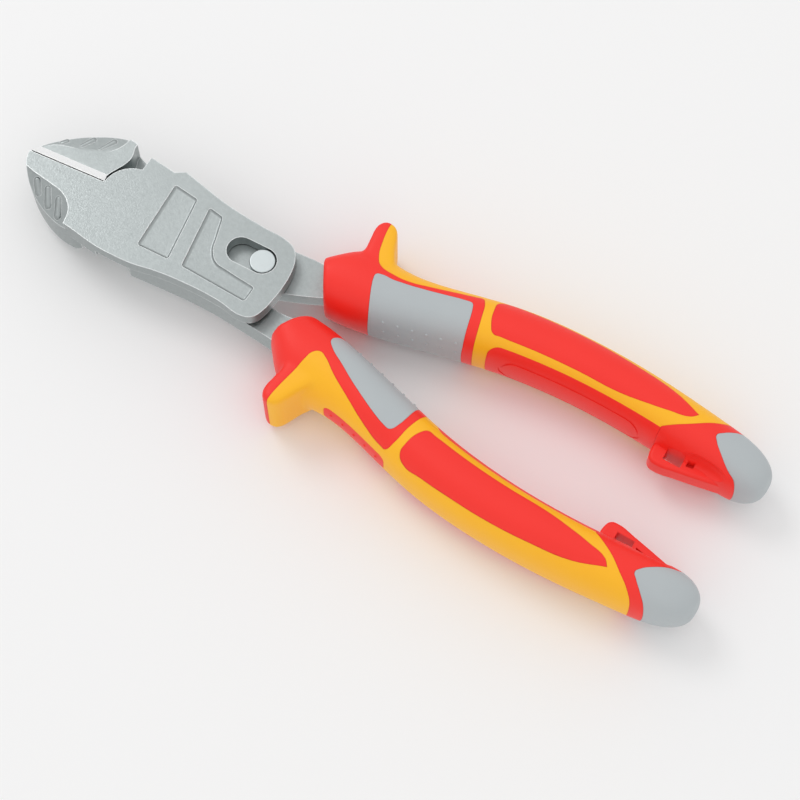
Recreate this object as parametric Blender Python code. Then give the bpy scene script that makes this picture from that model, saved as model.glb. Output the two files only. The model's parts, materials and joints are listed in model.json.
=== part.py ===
"""Compound-action diagonal cutting pliers with multi-shot moulded grips, jaws closed.

Two jaws turn on the main rivet. The drive lever turns on the fulcrum pin in the jaw lever and
carries the slot pin, which slides along the slot of the jaw plate and swings the other jaw.
The fulcrum lies as far from the main rivet as from the slot pin, so the jaw plate always turns
by half of the drive lever's angle.

Plan sizes are in millimetres. x is measured from the main rivet towards the handles, y from the
middle line between the handles, and z up from the surface that the grips rest on. The model's
origin is under the middle of the overall box.
"""

import math

import bmesh
import bpy
from mathutils import Matrix, Vector

MM = 0.001

# Overall
JAW_REACH = 26.9  # jaw tip in front of the main rivet
GRIP_END = 158.1  # rounded ends of the grips behind the main rivet
GRIP_HEIGHT = 18.5
GAP = 0.3  # running clearance between pieces that touch on the real tool

# Head
HEAD_THICKNESS = 11.0
PLATE_THICKNESS = 3.3  # jaw plate over the drive lever
FLOOR_THICKNESS = 3.1  # jaw lever under the drive lever
RIM_THICKNESS = 6.5  # jaw lever along its outer edge
LAP_RADIUS = 10.5  # thick half of each jaw round the main rivet
BOSS_RADIUS = 7.2
TIP_THINNING = 2.6  # how far the underside rises towards the tip
THINNING_LENGTH = 13.0

# Pivots and the slot
RIVET_Y = 1.1
SLOT_PIN = (35.0, 3.1)
FULCRUM_ARCH = math.radians(15.0)  # angle at the rivet between slot pin and fulcrum pin
HANDLE_SWING = math.radians(40.0)
PIN_RADIUS = 3.0
PIN_SINK = 0.15  # how far the slot pin's face lies under the plate's face
RIVET_RADIUS = 4.0
RIVET_HEAD = 5.6
RIVET_HEAD_DEPTH = 1.6
RIVET_COVER = 1.3  # metal left over the blind end of the rivet
FULCRUM_RADIUS = 3.0
FULCRUM_HEAD = 4.4
FULCRUM_HEAD_DEPTH = 1.3
LEVER_NOSE = 6.0  # radius of the drive lever's round end
CUT_TIP_Y = -0.8
CUT_ANGLE = math.radians(6.4)
TOP_BEVEL = (1.1, 1.0)  # half width and depth
UNDER_BEVEL = (1.5, 3.6)
MARK_DEPTH = 0.5  # recessed fields on the jaw plate
RELIEF_DEPTH = 1.6  # scalloped back of the lower jaw

# Grips
SHOT = 1.9  # depth of the softer shots over the core
RIM_TILT = math.radians(30.5)
RIM_OUTER = (46.4, 11.4)
GUARD_HEIGHT = 15.6
GUARD_ROUND = 2.2
TANG_HALF_WIDTH = 3.5
TANG_HALF_HEIGHT = 4.2
TANG_END = 147.0
HOOK_Z = (5.6, 11.2)
SLOT_Z_MARGIN = 5.0
OVER = 6.0  # how far a cutter runs past the surface that it cuts

# x, inner side, outer side, drop below the full half height of a grip's cross-sections
GRIP_SECTIONS = (
    (43.0, 1.4, 7.5, 1.65),
    (47.0, 1.4, 12.2, 0.55),
    (50.0, 1.4, 15.8, 0.25),
    (53.0, 1.5, 18.8, 0.05),
    (57.0, 1.8, 19.6, 0.0),
    (61.0, 2.5, 19.4, 0.0),
    (65.5, 3.6, 19.0, 0.0),
    (72.0, 5.2, 19.9, 0.05),
    (81.0, 7.5, 22.4, 0.1),
    (91.0, 10.1, 24.9, 0.1),
    (101.0, 11.7, 26.1, 0.0),
    (111.0, 12.6, 26.5, 0.0),
    (121.0, 12.8, 26.4, 0.0),
    (131.0, 12.4, 25.7, 0.15),
    (141.0, 11.5, 24.6, 0.35),
    (148.0, 10.8, 23.9, 0.65),
    (152.5, 10.6, 22.9, 1.35),
    (155.8, 11.8, 21.2, 2.75),
    (157.4, 13.6, 19.4, 4.85),
)
END_CENTRE_Y = 16.5
END_HALF = 1.8
GUARD_OUTLINE = (
    (52.3, 16.0),
    (52.4, 21.0),
    (52.9, 24.2),
    (54.0, 25.7),
    (55.8, 26.0),
    (57.3, 25.4),
    (58.6, 23.4),
    (60.2, 20.8),
    (63.0, 18.4),
    (60.0, 14.0),
    (54.0, 12.0),
)
COLLAR_ZONE = (
    (30.0, -8.0),
    (86.9, -8.0),
    (86.9, 9.0),
    (85.2, 15.5),
    (83.8, 20.2),
    (82.8, 20.1),
    (71.2, 16.1),
    (67.2, 14.8),
    (63.0, 14.4),
    (59.0, 15.0),
    (57.4, 17.0),
    (56.2, 20.5),
    (55.6, 24.5),
    (55.4, 34.0),
    (30.0, 34.0),
)
LABEL_ZONE = (
    (59.9, 12.0),
    (61.2, 12.8),
    (81.2, 18.0),
    (82.3, 17.5),
    (84.4, 9.0),
    (84.4, -8.0),
    (64.2, -8.0),
    (62.9, 3.5),
)
PANEL_ZONE = (
    (88.5, 13.5),
    (100.5, 15.0),
    (110.5, 15.7),
    (120.5, 15.9),
    (127.5, 16.4),
    (137.6, 20.4),
    (130.5, 22.8),
    (120.5, 24.0),
    (110.5, 24.4),
    (100.5, 24.0),
    (92.5, 23.1),
    (88.0, 22.2),
    (86.7, 20.4),
)
TAIL_ZONE = (
    (131.6, -4.0),
    (131.6, 14.3),
    (135.7, 16.6),
    (140.7, 20.7),
    (144.0, 22.7),
    (146.4, 24.2),
    (148.4, 34.0),
    (172.0, 34.0),
    (172.0, -4.0),
)
CAP_ZONE = (
    (143.2, 18.2),
    (144.2, 19.8),
    (149.0, 24.2),
    (151.0, 34.0),
    (172.0, 34.0),
    (172.0, -4.0),
    (153.2, -4.0),
    (152.3, 10.3),
    (150.5, 12.3),
    (144.0, 16.8),
)
HOOK_OUTLINE = (
    (132.0, 14.5),
    (132.0, 9.6),
    (133.2, 8.3),
    (134.8, 8.2),
    (150.6, 11.2),
    (149.0, 14.5),
)
HOOK_SLOT = ((135.6, 9.9), (135.6, 11.7), (139.6, 11.7), (139.6, 9.9))
INNER_ZONE_X = (90.4, 131.0)
INNER_ZONE_HALF_HEIGHT = 6.2
STRIP_ZONE_X = (65.4, 83.4)
STRIP_ZONE_HALF_HEIGHT = 3.0

# Plan outlines of the head
PLATE_BACK = (
    (-1.5, 12.0),
    (5.3, 11.5),
    (7.5, 13.0),
    (12.2, 12.2),
    (20.3, 10.8),
    (30.5, 10.4),
    (37.4, 10.3),
    (39.3, 9.5),
    (41.1, 7.4),
    (42.2, 4.2),
    (42.6, 0.0),
    (42.4, -3.7),
    (41.9, -7.4),
    (40.9, -9.5),
    (39.0, -11.0),
    (31.7, -10.5),
    (23.8, -10.8),
    (15.9, -11.8),
    (10.1, -13.2),
    (5.3, -13.7),
    (0.1, -13.7),
    (-4.1, -13.3),
    (-7.9, -12.9),
)
LOWER_JAW_BACK = (
    (-10.7, -12.8),
    (-14.1, -12.1),
    (-17.4, -10.9),
    (-21.0, -8.9),
    (-23.9, -6.5),
    (-25.9, -3.9),
)
LEVER_LOWER_EDGE = (
    (-1.5, -10.9),
    (5.3, -10.6),
    (7.6, -11.9),
    (12.2, -11.4),
    (16.8, -10.9),
    (27.1, -10.1),
    (37.4, -10.3),
    (45.0, -10.3),
    (45.0, -2.9),
    (38.0, -3.4),
    (30.0, 2.5),
    (22.0, 9.6),
    (12.0, 11.3),
    (5.0, 11.5),
    (-2.0, 11.9),
)
UPPER_JAW_BACK = (
    (-5.2, 12.7),
    (-7.0, 13.3),
    (-8.9, 13.2),
    (-12.0, 12.1),
    (-15.7, 10.0),
    (-19.5, 7.4),
    (-23.3, 3.2),
    (-26.2, -0.3),
)
JAW_HEEL = ((-5.7, 7.4), (-5.4, 9.5), (-6.2, 12.1))  # rear edge of the upper jaw
WALL_X = -1.5  # end wall that stops the opening
RIM_INNER = ((18.3, -9.3), (24.0, -8.2), (30.0, -6.2), (36.0, -4.2), (46.0, -1.4))
RIM_START_X = 7.0
DRIVE_LOWER = ((30.0, -4.6), (36.0, -2.6), (41.6, -0.4), (49.4, 3.1), (53.0, 5.2))
DRIVE_UPPER = ((53.0, 10.7), (45.3, 11.0), (40.0, 10.5), (34.0, 10.0), (28.0, 9.3), (22.0, 6.4))
RELIEF_ARC = (
    (-24.6, -5.0),
    (-17.8, -5.9),
    (-14.1, -6.5),
    (-11.5, -7.9),
    (-9.9, -9.7),
    (-9.1, -11.6),
    (-9.0, -18.0),
    (-30.0, -18.0),
    (-30.0, -5.0),
)
MARK_FIELDS = (
    ((7.2, 9.2), (13.8, 8.7), (16.6, -8.0), (8.2, -8.6)),
    ((17.2, 8.2), (21.4, 7.6), (24.4, -0.9), (26.4, -2.9), (37.3, -3.5), (37.2, -7.8), (19.8, -7.8)),
)

# Worked out from the sizes above
MID_Z = GRIP_HEIGHT / 2
HEAD_TOP = MID_Z + HEAD_THICKNESS / 2
HEAD_BOTTOM = MID_Z - HEAD_THICKNESS / 2
PLATE_UNDER = HEAD_TOP - PLATE_THICKNESS
FLOOR_TOP = HEAD_BOTTOM + FLOOR_THICKNESS
CENTRE_X = (GRIP_END - JAW_REACH) / 2
RIVET = (0.0, RIVET_Y)
TIP = (-JAW_REACH, CUT_TIP_Y)
LINK = Vector(SLOT_PIN) - Vector(RIVET)
LINK_SIDE = Vector((LINK.y, -LINK.x)).normalized()
FULCRUM = tuple(Vector(RIVET) + LINK / 2 + LINK_SIDE * (LINK.length / 2 * math.tan(FULCRUM_ARCH)))
LINK_RADIUS = LINK.length / 2 / math.cos(FULCRUM_ARCH)
PIN_TRAVEL = LINK.length - 2 * LINK_RADIUS * math.cos(FULCRUM_ARCH + HANDLE_SWING / 2)


def material(name, colour, roughness, metallic=0.0):
    """A Principled material."""
    made = bpy.data.materials.new(name)
    made.use_nodes = True
    shader = made.node_tree.nodes["Principled BSDF"]
    shader.inputs["Base Color"].default_value = (*colour, 1.0)
    shader.inputs["Roughness"].default_value = roughness
    shader.inputs["Metallic"].default_value = metallic
    made.diffuse_color = (*colour, 1.0)
    return made


def solid(name, rings, made_of=None):
    """An object whose skin joins the rings in order, with both ends capped. Ring points are in mm."""
    body = bmesh.new()
    rows = [
        [body.verts.new(((x - CENTRE_X) * MM, y * MM, z * MM)) for x, y, z in ring]
        for ring in rings
    ]
    for near, far in zip(rows, rows[1:]):
        for i, corner in enumerate(near):
            after = (i + 1) % len(near)
            body.faces.new((corner, near[after], far[after], far[i]))
    body.faces.new(rows[0])
    body.faces.new(rows[-1])
    bmesh.ops.recalc_face_normals(body, faces=body.faces)
    mesh = bpy.data.meshes.new(name)
    body.to_mesh(mesh)
    body.free()
    made = bpy.data.objects.new(name, mesh)
    bpy.context.scene.collection.objects.link(made)
    if made_of:
        mesh.materials.append(made_of)
    return made


def guide(made):
    """Marks a cutter or another helper, which isn't a piece."""
    made.hide_render = True
    made.display_type = "WIRE"
    return made


def flip(points, side):
    return [(x, y * side) for x, y in points]


def grown(points, distance):
    """The closed outline moved outwards by distance, or inwards where it is negative."""
    area = sum(
        x0 * y1 - x1 * y0 for (x0, y0), (x1, y1) in zip(points, (*points[1:], points[0]))
    )
    turn = math.copysign(1.0, area)
    result = []
    for before, here, after in zip((points[-1], *points[:-1]), points, (*points[1:], points[0])):
        first = (Vector(here) - Vector(before)).normalized()
        second = (Vector(after) - Vector(here)).normalized()
        out_first = Vector((first.y, -first.x)) * turn
        out_second = Vector((second.y, -second.x)) * turn
        bisector = (out_first + out_second).normalized()
        reach = distance / max(bisector.dot(out_first), 0.4)
        result.append(tuple(Vector(here) + bisector * reach))
    return result


def prism(name, points, low, high, made_of=None):
    return solid(name, [[(x, y, z) for x, y in points] for z in (low, high)], made_of)


def arc(centre, radius, start, end, steps):
    """Points round centre from start to end, in degrees."""
    angles = [math.radians(start + (end - start) * i / steps) for i in range(steps + 1)]
    return [(centre[0] + radius * math.cos(a), centre[1] + radius * math.sin(a)) for a in angles]


def disc(name, centre, radius, low, high, made_of=None, steps=32):
    return prism(name, arc(centre, radius, 0, 360, steps)[:-1], low, high, made_of)


def combine(body, tool, operation="DIFFERENCE"):
    """A Boolean of body with tool, kept as a modifier."""
    change = body.modifiers.new(tool.name, "BOOLEAN")
    change.operation = operation
    change.solver = "EXACT"
    change.object = tool
    return body


def cut(body, *tools):
    for tool in tools:
        combine(body, guide(tool))
    return body


def join(body, *tools):
    for tool in tools:
        combine(body, guide(tool), "UNION")
    return body


def cut_line(along, offset):
    """A point on the line where the edges meet, offset to the upper jaw's side."""
    run = Vector((math.cos(CUT_ANGLE), math.sin(CUT_ANGLE)))
    side = Vector((-run.y, run.x))
    return tuple(Vector(TIP) + run * along + side * offset)


def edge_end(radius):
    """How far from the tip the cut line comes within radius of the rivet."""
    back = Vector(RIVET) - Vector(TIP)
    run = Vector((math.cos(CUT_ANGLE), math.sin(CUT_ANGLE)))
    along = back.dot(run)
    return along - math.sqrt(radius**2 - (back.length_squared - along**2))


def bevel_groove(name, half_width, depth, face_z, up):
    """A V along the cut line. It opens upwards where up is 1, and downwards where up is -1."""
    spread = half_width * (depth + OVER) / depth
    edge_z = face_z - up * depth
    rings = []
    for along in (-OVER, edge_end(BOSS_RADIUS + GAP)):
        left = cut_line(along, spread)
        right = cut_line(along, -spread)
        middle = cut_line(along, 0.0)
        rings.append(
            [(*left, face_z + up * OVER), (*right, face_z + up * OVER), (*middle, edge_z)]
        )
    return solid(name, rings)


def tip_wedge(name):
    """Thins the underside of the jaws towards the tip."""
    start = -JAW_REACH + THINNING_LENGTH
    end = -JAW_REACH - OVER
    rise = TIP_THINNING * (THINNING_LENGTH + OVER) / THINNING_LENGTH
    profile = (
        (start, HEAD_BOTTOM),
        (end, HEAD_BOTTOM + rise),
        (end, HEAD_BOTTOM - OVER),
        (start, HEAD_BOTTOM - OVER),
    )
    return solid(name, [[(x, y, z) for x, z in profile] for y in (-24.0, 24.0)])


def boss_arc(radius, start, end):
    return arc(RIVET, radius, start, end, 8)


def mirrored(points):
    """Points across the line through the rivet along x."""
    return [(x, 2 * RIVET_Y - y) for x, y in points]


def behind_jaw(upper):
    """Plan area behind one jaw's heel, which the other half of the lap joint fills."""
    heel = boss_arc(BOSS_RADIUS + GAP + 0.2, 186, 152) + list(JAW_HEEL)
    heel += [(JAW_HEEL[-1][0], 26.0), (66.0, 26.0), (66.0, -26.0), (-14.0, -26.0), (-14.0, -7.0)]
    return heel if upper else mirrored(heel)


def boss_side(upper):
    """Outline of one half's boss, from the cut line to its end wall."""
    wall = math.degrees(math.acos(WALL_X / BOSS_RADIUS))
    sweep = boss_arc(BOSS_RADIUS, 176, wall)
    return sweep if upper else mirrored(sweep)


def lever_pocket():
    """Plan area outside the lap, to the rear of it."""
    return [(0.0, 26.0), *arc(RIVET, LAP_RADIUS, 90, -90, 12), (0.0, -26.0), (66.0, -26.0), (66.0, 26.0)]


def slot_outline():
    """The slot that the pin slides along, from its rest at the outer end."""
    run = LINK.normalized()
    bearing = math.degrees(math.atan2(run.y, run.x))
    inner = Vector(SLOT_PIN) - run * (PIN_TRAVEL + GAP)
    radius = PIN_RADIUS + GAP
    return arc(SLOT_PIN, radius, bearing - 90, bearing + 90, 10) + arc(
        inner, radius, bearing + 90, bearing + 270, 10
    )


def jaw_plate(steel):
    """Lower jaw and the slotted top plate."""
    half_gap = GAP / 2
    outline = [cut_line(0.0, -half_gap), cut_line(edge_end(BOSS_RADIUS), -half_gap)]
    outline += boss_side(True)
    outline += list(PLATE_BACK)
    outline += list(LOWER_JAW_BACK)
    body = prism("jaw_plate", outline, HEAD_BOTTOM, HEAD_TOP, steel)
    fields = [
        prism(f"cut_field_{i}", field, HEAD_TOP - MARK_DEPTH, HEAD_TOP + OVER)
        for i, field in enumerate(MARK_FIELDS)
    ]
    return cut(
        body,
        prism("cut_plate_lap", behind_jaw(False), HEAD_BOTTOM - OVER, MID_Z + GAP / 2),
        prism("cut_plate_pocket", lever_pocket(), HEAD_BOTTOM - 2 * OVER, PLATE_UNDER),
        prism("cut_slot", slot_outline(), HEAD_BOTTOM - OVER, HEAD_TOP + OVER),
        disc("cut_plate_bore", RIVET, RIVET_RADIUS + GAP, HEAD_BOTTOM - OVER, HEAD_TOP - RIVET_COVER),
        bevel_groove("cut_plate_bevel", *TOP_BEVEL, HEAD_TOP, 1),
        bevel_groove("cut_plate_under_bevel", *UNDER_BEVEL, HEAD_BOTTOM, -1),
        tip_wedge("cut_plate_tip"),
        prism("cut_relief", RELIEF_ARC, HEAD_TOP - RELIEF_DEPTH, HEAD_TOP + OVER),
        *fields,
    )


def jaw_lever(steel):
    """Upper jaw, the floor under the drive lever, and the lower handle's tang."""
    half_gap = GAP / 2
    outline = [cut_line(0.0, half_gap), cut_line(edge_end(BOSS_RADIUS), half_gap)]
    outline += boss_side(False)
    outline += list(LEVER_LOWER_EDGE)
    outline += list(UPPER_JAW_BACK)
    body = prism("jaw_lever", outline, HEAD_BOTTOM, HEAD_TOP, steel)
    behind = behind_jaw(True)
    front_only = [(min(x, RIM_START_X), y) for x, y in behind]
    pocket = [(0.0, 26.0), *arc(RIVET, LAP_RADIUS, 90, -54, 10), *RIM_INNER, (66.0, 6.0), (66.0, 26.0)]
    lap_top = MID_Z - GAP / 2
    tang = solid("tang_of_jaw_lever", tang_rings(-1, 0.0, lever_root(-1, 0.0)))
    cut(
        body,
        prism("cut_lever_top", behind, HEAD_BOTTOM + RIM_THICKNESS, HEAD_TOP + OVER),
        prism("cut_lever_lap", front_only, lap_top, HEAD_TOP + 2 * OVER),
        prism("cut_lever_sweep", arc(RIVET, LAP_RADIUS + GAP, 94, -94, 16), lap_top, HEAD_TOP + 4 * OVER),
        prism("cut_lever_pocket", pocket, FLOOR_TOP, HEAD_TOP + 3 * OVER),
        bevel_groove("cut_lever_bevel", *TOP_BEVEL, HEAD_TOP, 1),
        bevel_groove("cut_lever_under_bevel", *UNDER_BEVEL, HEAD_BOTTOM, -1),
        tip_wedge("cut_lever_tip"),
        disc("cut_lever_bore", RIVET, RIVET_RADIUS + GAP, HEAD_BOTTOM - OVER, HEAD_TOP),
        disc(
            "cut_lever_counterbore",
            RIVET,
            RIVET_HEAD + GAP,
            HEAD_BOTTOM - 2 * OVER,
            HEAD_BOTTOM + RIVET_HEAD_DEPTH + GAP,
        ),
        disc("cut_fulcrum_bore", FULCRUM, FULCRUM_RADIUS + GAP, HEAD_BOTTOM - OVER, HEAD_TOP),
        disc(
            "cut_fulcrum_counterbore",
            FULCRUM,
            FULCRUM_HEAD + GAP,
            HEAD_BOTTOM - 2 * OVER,
            HEAD_BOTTOM + FULCRUM_HEAD_DEPTH + GAP,
        ),
    )
    return join(body, tang)


def drive_lever(steel):
    """Middle lever with the upper handle's tang."""
    nose = arc(FULCRUM, LEVER_NOSE, 105, 285, 12)
    outline = [*nose, *DRIVE_LOWER, *DRIVE_UPPER]
    low = FLOOR_TOP + GAP
    high = PLATE_UNDER - GAP
    body = prism("drive_lever", outline, low, high, steel)
    tang = solid("tang_of_drive_lever", tang_rings(1, 0.0, lever_root(1, 0.0)))
    join(body, tang)
    return cut(
        body,
        disc("cut_drive_fulcrum", FULCRUM, FULCRUM_RADIUS + GAP, low - OVER, high + OVER),
        disc("cut_drive_pin", SLOT_PIN, PIN_RADIUS + GAP, low - OVER, high + OVER),
    )


def pins(steel):
    """The main rivet, the fulcrum pin and the slot pin."""
    rivet = disc("main_pivot_rivet", RIVET, RIVET_HEAD, HEAD_BOTTOM, HEAD_BOTTOM + RIVET_HEAD_DEPTH, steel)
    join(
        rivet,
        disc(
            "shank_of_rivet",
            RIVET,
            RIVET_RADIUS,
            HEAD_BOTTOM + RIVET_HEAD_DEPTH / 2,
            HEAD_TOP - RIVET_COVER - GAP,
        ),
    )
    fulcrum = disc("fulcrum_pin", FULCRUM, FULCRUM_HEAD, HEAD_BOTTOM, HEAD_BOTTOM + FULCRUM_HEAD_DEPTH, steel)
    join(
        fulcrum,
        disc(
            "shank_of_fulcrum",
            FULCRUM,
            FULCRUM_RADIUS,
            HEAD_BOTTOM + FULCRUM_HEAD_DEPTH / 2,
            PLATE_UNDER - GAP,
        ),
    )
    slider = disc("slot_pin", SLOT_PIN, PIN_RADIUS, FLOOR_TOP + GAP, HEAD_TOP - PIN_SINK, steel)
    return rivet, fulcrum, slider


def section_at(x):
    """Inner side, outer side and drop of a grip at x, between the listed sections."""
    for near, far in zip(GRIP_SECTIONS, GRIP_SECTIONS[1:]):
        if near[0] <= x <= far[0]:
            share = (x - near[0]) / (far[0] - near[0])
            return tuple(a + (b - a) * share for a, b in zip(near[1:], far[1:]))
    return GRIP_SECTIONS[-1][1:]


def centre_at(x):
    inner, outer, _ = section_at(x)
    return (inner + outer) / 2


def chamfered(x, y_low, y_high, z_low, z_high, grow, corner_share=0.25):
    """A rectangular section across x with its corners cut, grown all round."""
    y_low, y_high, z_low, z_high = y_low - grow, y_high + grow, z_low - grow, z_high + grow
    corner = min(y_high - y_low, z_high - z_low) * corner_share
    points = (
        (y_low + corner, z_low),
        (y_high - corner, z_low),
        (y_high, z_low + corner),
        (y_high, z_high - corner),
        (y_high - corner, z_high),
        (y_low + corner, z_high),
        (y_low, z_high - corner),
        (y_low, z_low + corner),
    )
    return [(x, y, z) for y, z in points]


def lever_root(side, grow):
    """Sections where a tang leaves its lever, in front of the grip."""
    if side > 0:
        return [chamfered(49.2, 3.6, 10.4, MID_Z - 2.6, MID_Z + 2.6, grow)]
    return [
        chamfered(41.5, -10.2, -3.4, HEAD_BOTTOM + 0.2, HEAD_BOTTOM + RIM_THICKNESS - 0.1, grow),
        chamfered(50.0, -10.8, -3.2, HEAD_BOTTOM + 0.8, HEAD_BOTTOM + RIM_THICKNESS + 0.9, grow),
    ]


def tang_rings(side, grow, root):
    """Sections of a tang along the middle of its grip."""
    stops = [57.0, 65.5, 72.0, 81.0, 91.0, 101.0, 111.0, 121.0, 131.0, TANG_END]
    rings = list(root)
    for x in stops:
        middle = centre_at(x) * side
        end = grow if x == TANG_END else 0.0
        rings.append(
            chamfered(
                x + end,
                middle - TANG_HALF_WIDTH,
                middle + TANG_HALF_WIDTH,
                MID_Z - TANG_HALF_HEIGHT,
                MID_Z + TANG_HALF_HEIGHT,
                grow,
            )
        )
    return rings


def channel_rings(side):
    """The hollow that takes a tang, open at the front."""
    if side > 0:
        root = [
            chamfered(40.0, -1.5, 11.0, MID_Z - 2.6, MID_Z + 2.6, GAP, 0.08),
            chamfered(49.2, 2.6, 11.3, MID_Z - 2.6, MID_Z + 2.6, GAP, 0.08),
            chamfered(54.5, 5.0, 13.4, MID_Z - 3.8, MID_Z + 3.8, GAP, 0.08),
        ]
    else:
        root = lever_root(side, GAP)
    return tang_rings(side, GAP, root)


def grip_ring(x, inner, outer, half_height, side, shrink):
    """A rounded section across a grip."""
    steps = 16
    power = 2 / 2.4
    middle = (inner + outer) / 2 * side
    half_width = max((outer - inner) / 2 - shrink, 0.3)
    half_height = max(half_height - shrink, 0.3)
    ring = []
    for i in range(steps):
        angle = 2 * math.pi * i / steps
        across = math.copysign(abs(math.cos(angle)) ** power, math.cos(angle))
        upward = math.copysign(abs(math.sin(angle)) ** power, math.sin(angle))
        ring.append((x, middle + half_width * across, MID_Z + half_height * upward))
    return ring


def grip_body(name, side, shrink):
    """The whole grip's rounded form, or the form that lies shrink under its skin."""
    rings = []
    last = GRIP_END - SHOT - 1.0 if shrink else GRIP_END
    for x, inner, outer, drop in GRIP_SECTIONS:
        if x <= last:
            rings.append(grip_ring(x, inner, outer, MID_Z - drop, side, shrink))
    end_half = END_HALF if shrink == 0 else END_HALF + 0.9 + SHOT - shrink
    rings.append(
        grip_ring(
            GRIP_END - shrink,
            END_CENTRE_Y - end_half,
            END_CENTRE_Y + end_half,
            end_half,
            side,
            0.0,
        )
    )
    body = guide(solid(name, rings))
    return cut(body, rim_cutter(f"cut_rim_of_{name}", side, shrink))


def rim_cutter(name, side, back):
    """Removes what lies in front of the grip's tilted front rim, or of a plane behind it."""
    normal = Vector((math.cos(RIM_TILT), math.sin(RIM_TILT)))
    along = Vector((normal.y, -normal.x))
    base = Vector(RIM_OUTER) + normal * back
    corners = [base - along * 40, base + along * 40]
    corners += [corners[1] - normal * 50, corners[0] - normal * 50]
    return prism(name, flip([tuple(c) for c in corners], side), -OVER, GRIP_HEIGHT + OVER)


def guard(name, side):
    """Thumb guard on the outer side of a grip, with softened edges."""
    base = GUARD_OUTLINE
    low = MID_Z - GUARD_HEIGHT / 2
    high = MID_Z + GUARD_HEIGHT / 2
    levels = ((low, -GUARD_ROUND), (low + GUARD_ROUND, 0.0), (high - GUARD_ROUND, 0.0), (high, -GUARD_ROUND))
    rings = [[(x, y * side, z) for x, y in grown(base, by)] for z, by in levels]
    return solid(name, rings)


def side_zone(name, side, span, half_height, inner, grow, made_of=None):
    """A prism across the tool that reaches from a grip's middle past its inner or outer side."""
    x_low, x_high = span[0] - grow, span[1] + grow
    z_low, z_high = MID_Z - half_height - grow, MID_Z + half_height + grow
    profile = ((x_low, z_low), (x_high, z_low), (x_high, z_high), (x_low, z_high))
    rings = []
    for far in (False, True):
        ring = []
        for x, z in profile:
            reach = (-12.0 if inner else 12.0) if far else 0.0
            ring.append((x, (centre_at(x) + reach) * side, z))
        rings.append(ring)
    return solid(name, rings, made_of)


def grip(word, side, looks):
    """One grip: the core and the shots moulded over it."""
    yellow, red, grey = looks
    outer = join(grip_body(f"{word}_form", side, 0.0), guard(f"{word}_guard", side))
    inner = grip_body(f"{word}_inner_form", side, SHOT)
    bed = grip_body(f"{word}_bed_form", side, SHOT - GAP)
    channel = guide(solid(f"{word}_channel", channel_rings(side)))
    half = GAP / 2

    def plan_zone(name, zone, grow, low, high, made_of=None):
        return prism(name, flip(grown(zone, grow), side), low, high, made_of)

    full = (-OVER, GRIP_HEIGHT + OVER)
    above = (MID_Z, GRIP_HEIGHT + OVER)
    below = (-OVER, MID_Z)
    plans = {
        "front_collar": (COLLAR_ZONE, full, red, LABEL_ZONE),
        "label_pad": (LABEL_ZONE, full, grey, None),
        "top_panel": (PANEL_ZONE, above, red, None),
        "under_panel": (PANEL_ZONE, below, red, None),
        "tail_shell": (TAIL_ZONE, full, red, CAP_ZONE),
        "end_cap": (CAP_ZONE, full, grey, None),
    }
    sides = {
        "inner_panel": (INNER_ZONE_X, INNER_ZONE_HALF_HEIGHT, True),
        "outer_strip": (STRIP_ZONE_X, STRIP_ZONE_HALF_HEIGHT, False),
    }
    core = join(grip_copy(f"{word}_core_sleeve", outer, yellow), guard(f"{word}_core_guard", side))
    combine(core, bpy.data.objects[f"cut_rim_of_{word}_form"])
    for part, zone in (("front", COLLAR_ZONE), ("panel", PANEL_ZONE), ("tail", TAIL_ZONE)):
        cut(core, plan_zone(f"cut_{word}_{part}", zone, half, *full))
    for part, zone in sides.items():
        cut(core, side_zone(f"cut_{word}_{part}", side, *zone, half))
    combine(core, inner, "UNION")
    combine(core, channel)
    pieces = [core]
    for part, (zone, (low, high), look, hole) in plans.items():
        piece = plan_zone(f"{word}_{part}", zone, -half, low, high, look)
        combine(piece, outer, "INTERSECT")
        if part == "tail_shell":
            fin = prism(f"{word}_hook_fin", flip(HOOK_OUTLINE, side), *HOOK_Z)
            join(piece, fin)
            slot_z = (HOOK_Z[0] - SLOT_Z_MARGIN, HOOK_Z[1] + SLOT_Z_MARGIN)
            cut(piece, prism(f"cut_{word}_hook", flip(HOOK_SLOT, side), *slot_z))
        if hole:
            cut(piece, plan_zone(f"cut_{word}_{part}_hole", hole, half, low - 1, high + 1))
        combine(piece, bed)
        combine(piece, channel)
        pieces.append(piece)
    for part, zone in sides.items():
        piece = side_zone(f"{word}_{part}", side, *zone, -half, red)
        combine(piece, outer, "INTERSECT")
        cut(piece, plan_zone(f"cut_{word}_{part}_panel", PANEL_ZONE, GAP, *full))
        combine(piece, bed)
        pieces.append(piece)
    return pieces


def grip_copy(name, source, made_of):
    """A new object with its own copy of the source's mesh, without its modifiers."""
    made = bpy.data.objects.new(name, source.data.copy())
    bpy.context.scene.collection.objects.link(made)
    made.data.materials.append(made_of)
    return made


def axis_empty(name, place):
    """An empty on a joint's axis, which carries the pieces that turn about it."""
    made = bpy.data.objects.new(name, None)
    made.location = ((place[0] - CENTRE_X) * MM, place[1] * MM, MID_Z * MM)
    bpy.context.scene.collection.objects.link(made)
    return made


def carry(axis, pieces):
    for piece in pieces:
        piece.parent = axis
        piece.matrix_parent_inverse = Matrix.Translation(-axis.location)
        piece.data.shade_smooth()
        piece.data.set_sharp_from_angle(angle=math.radians(35))


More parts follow.
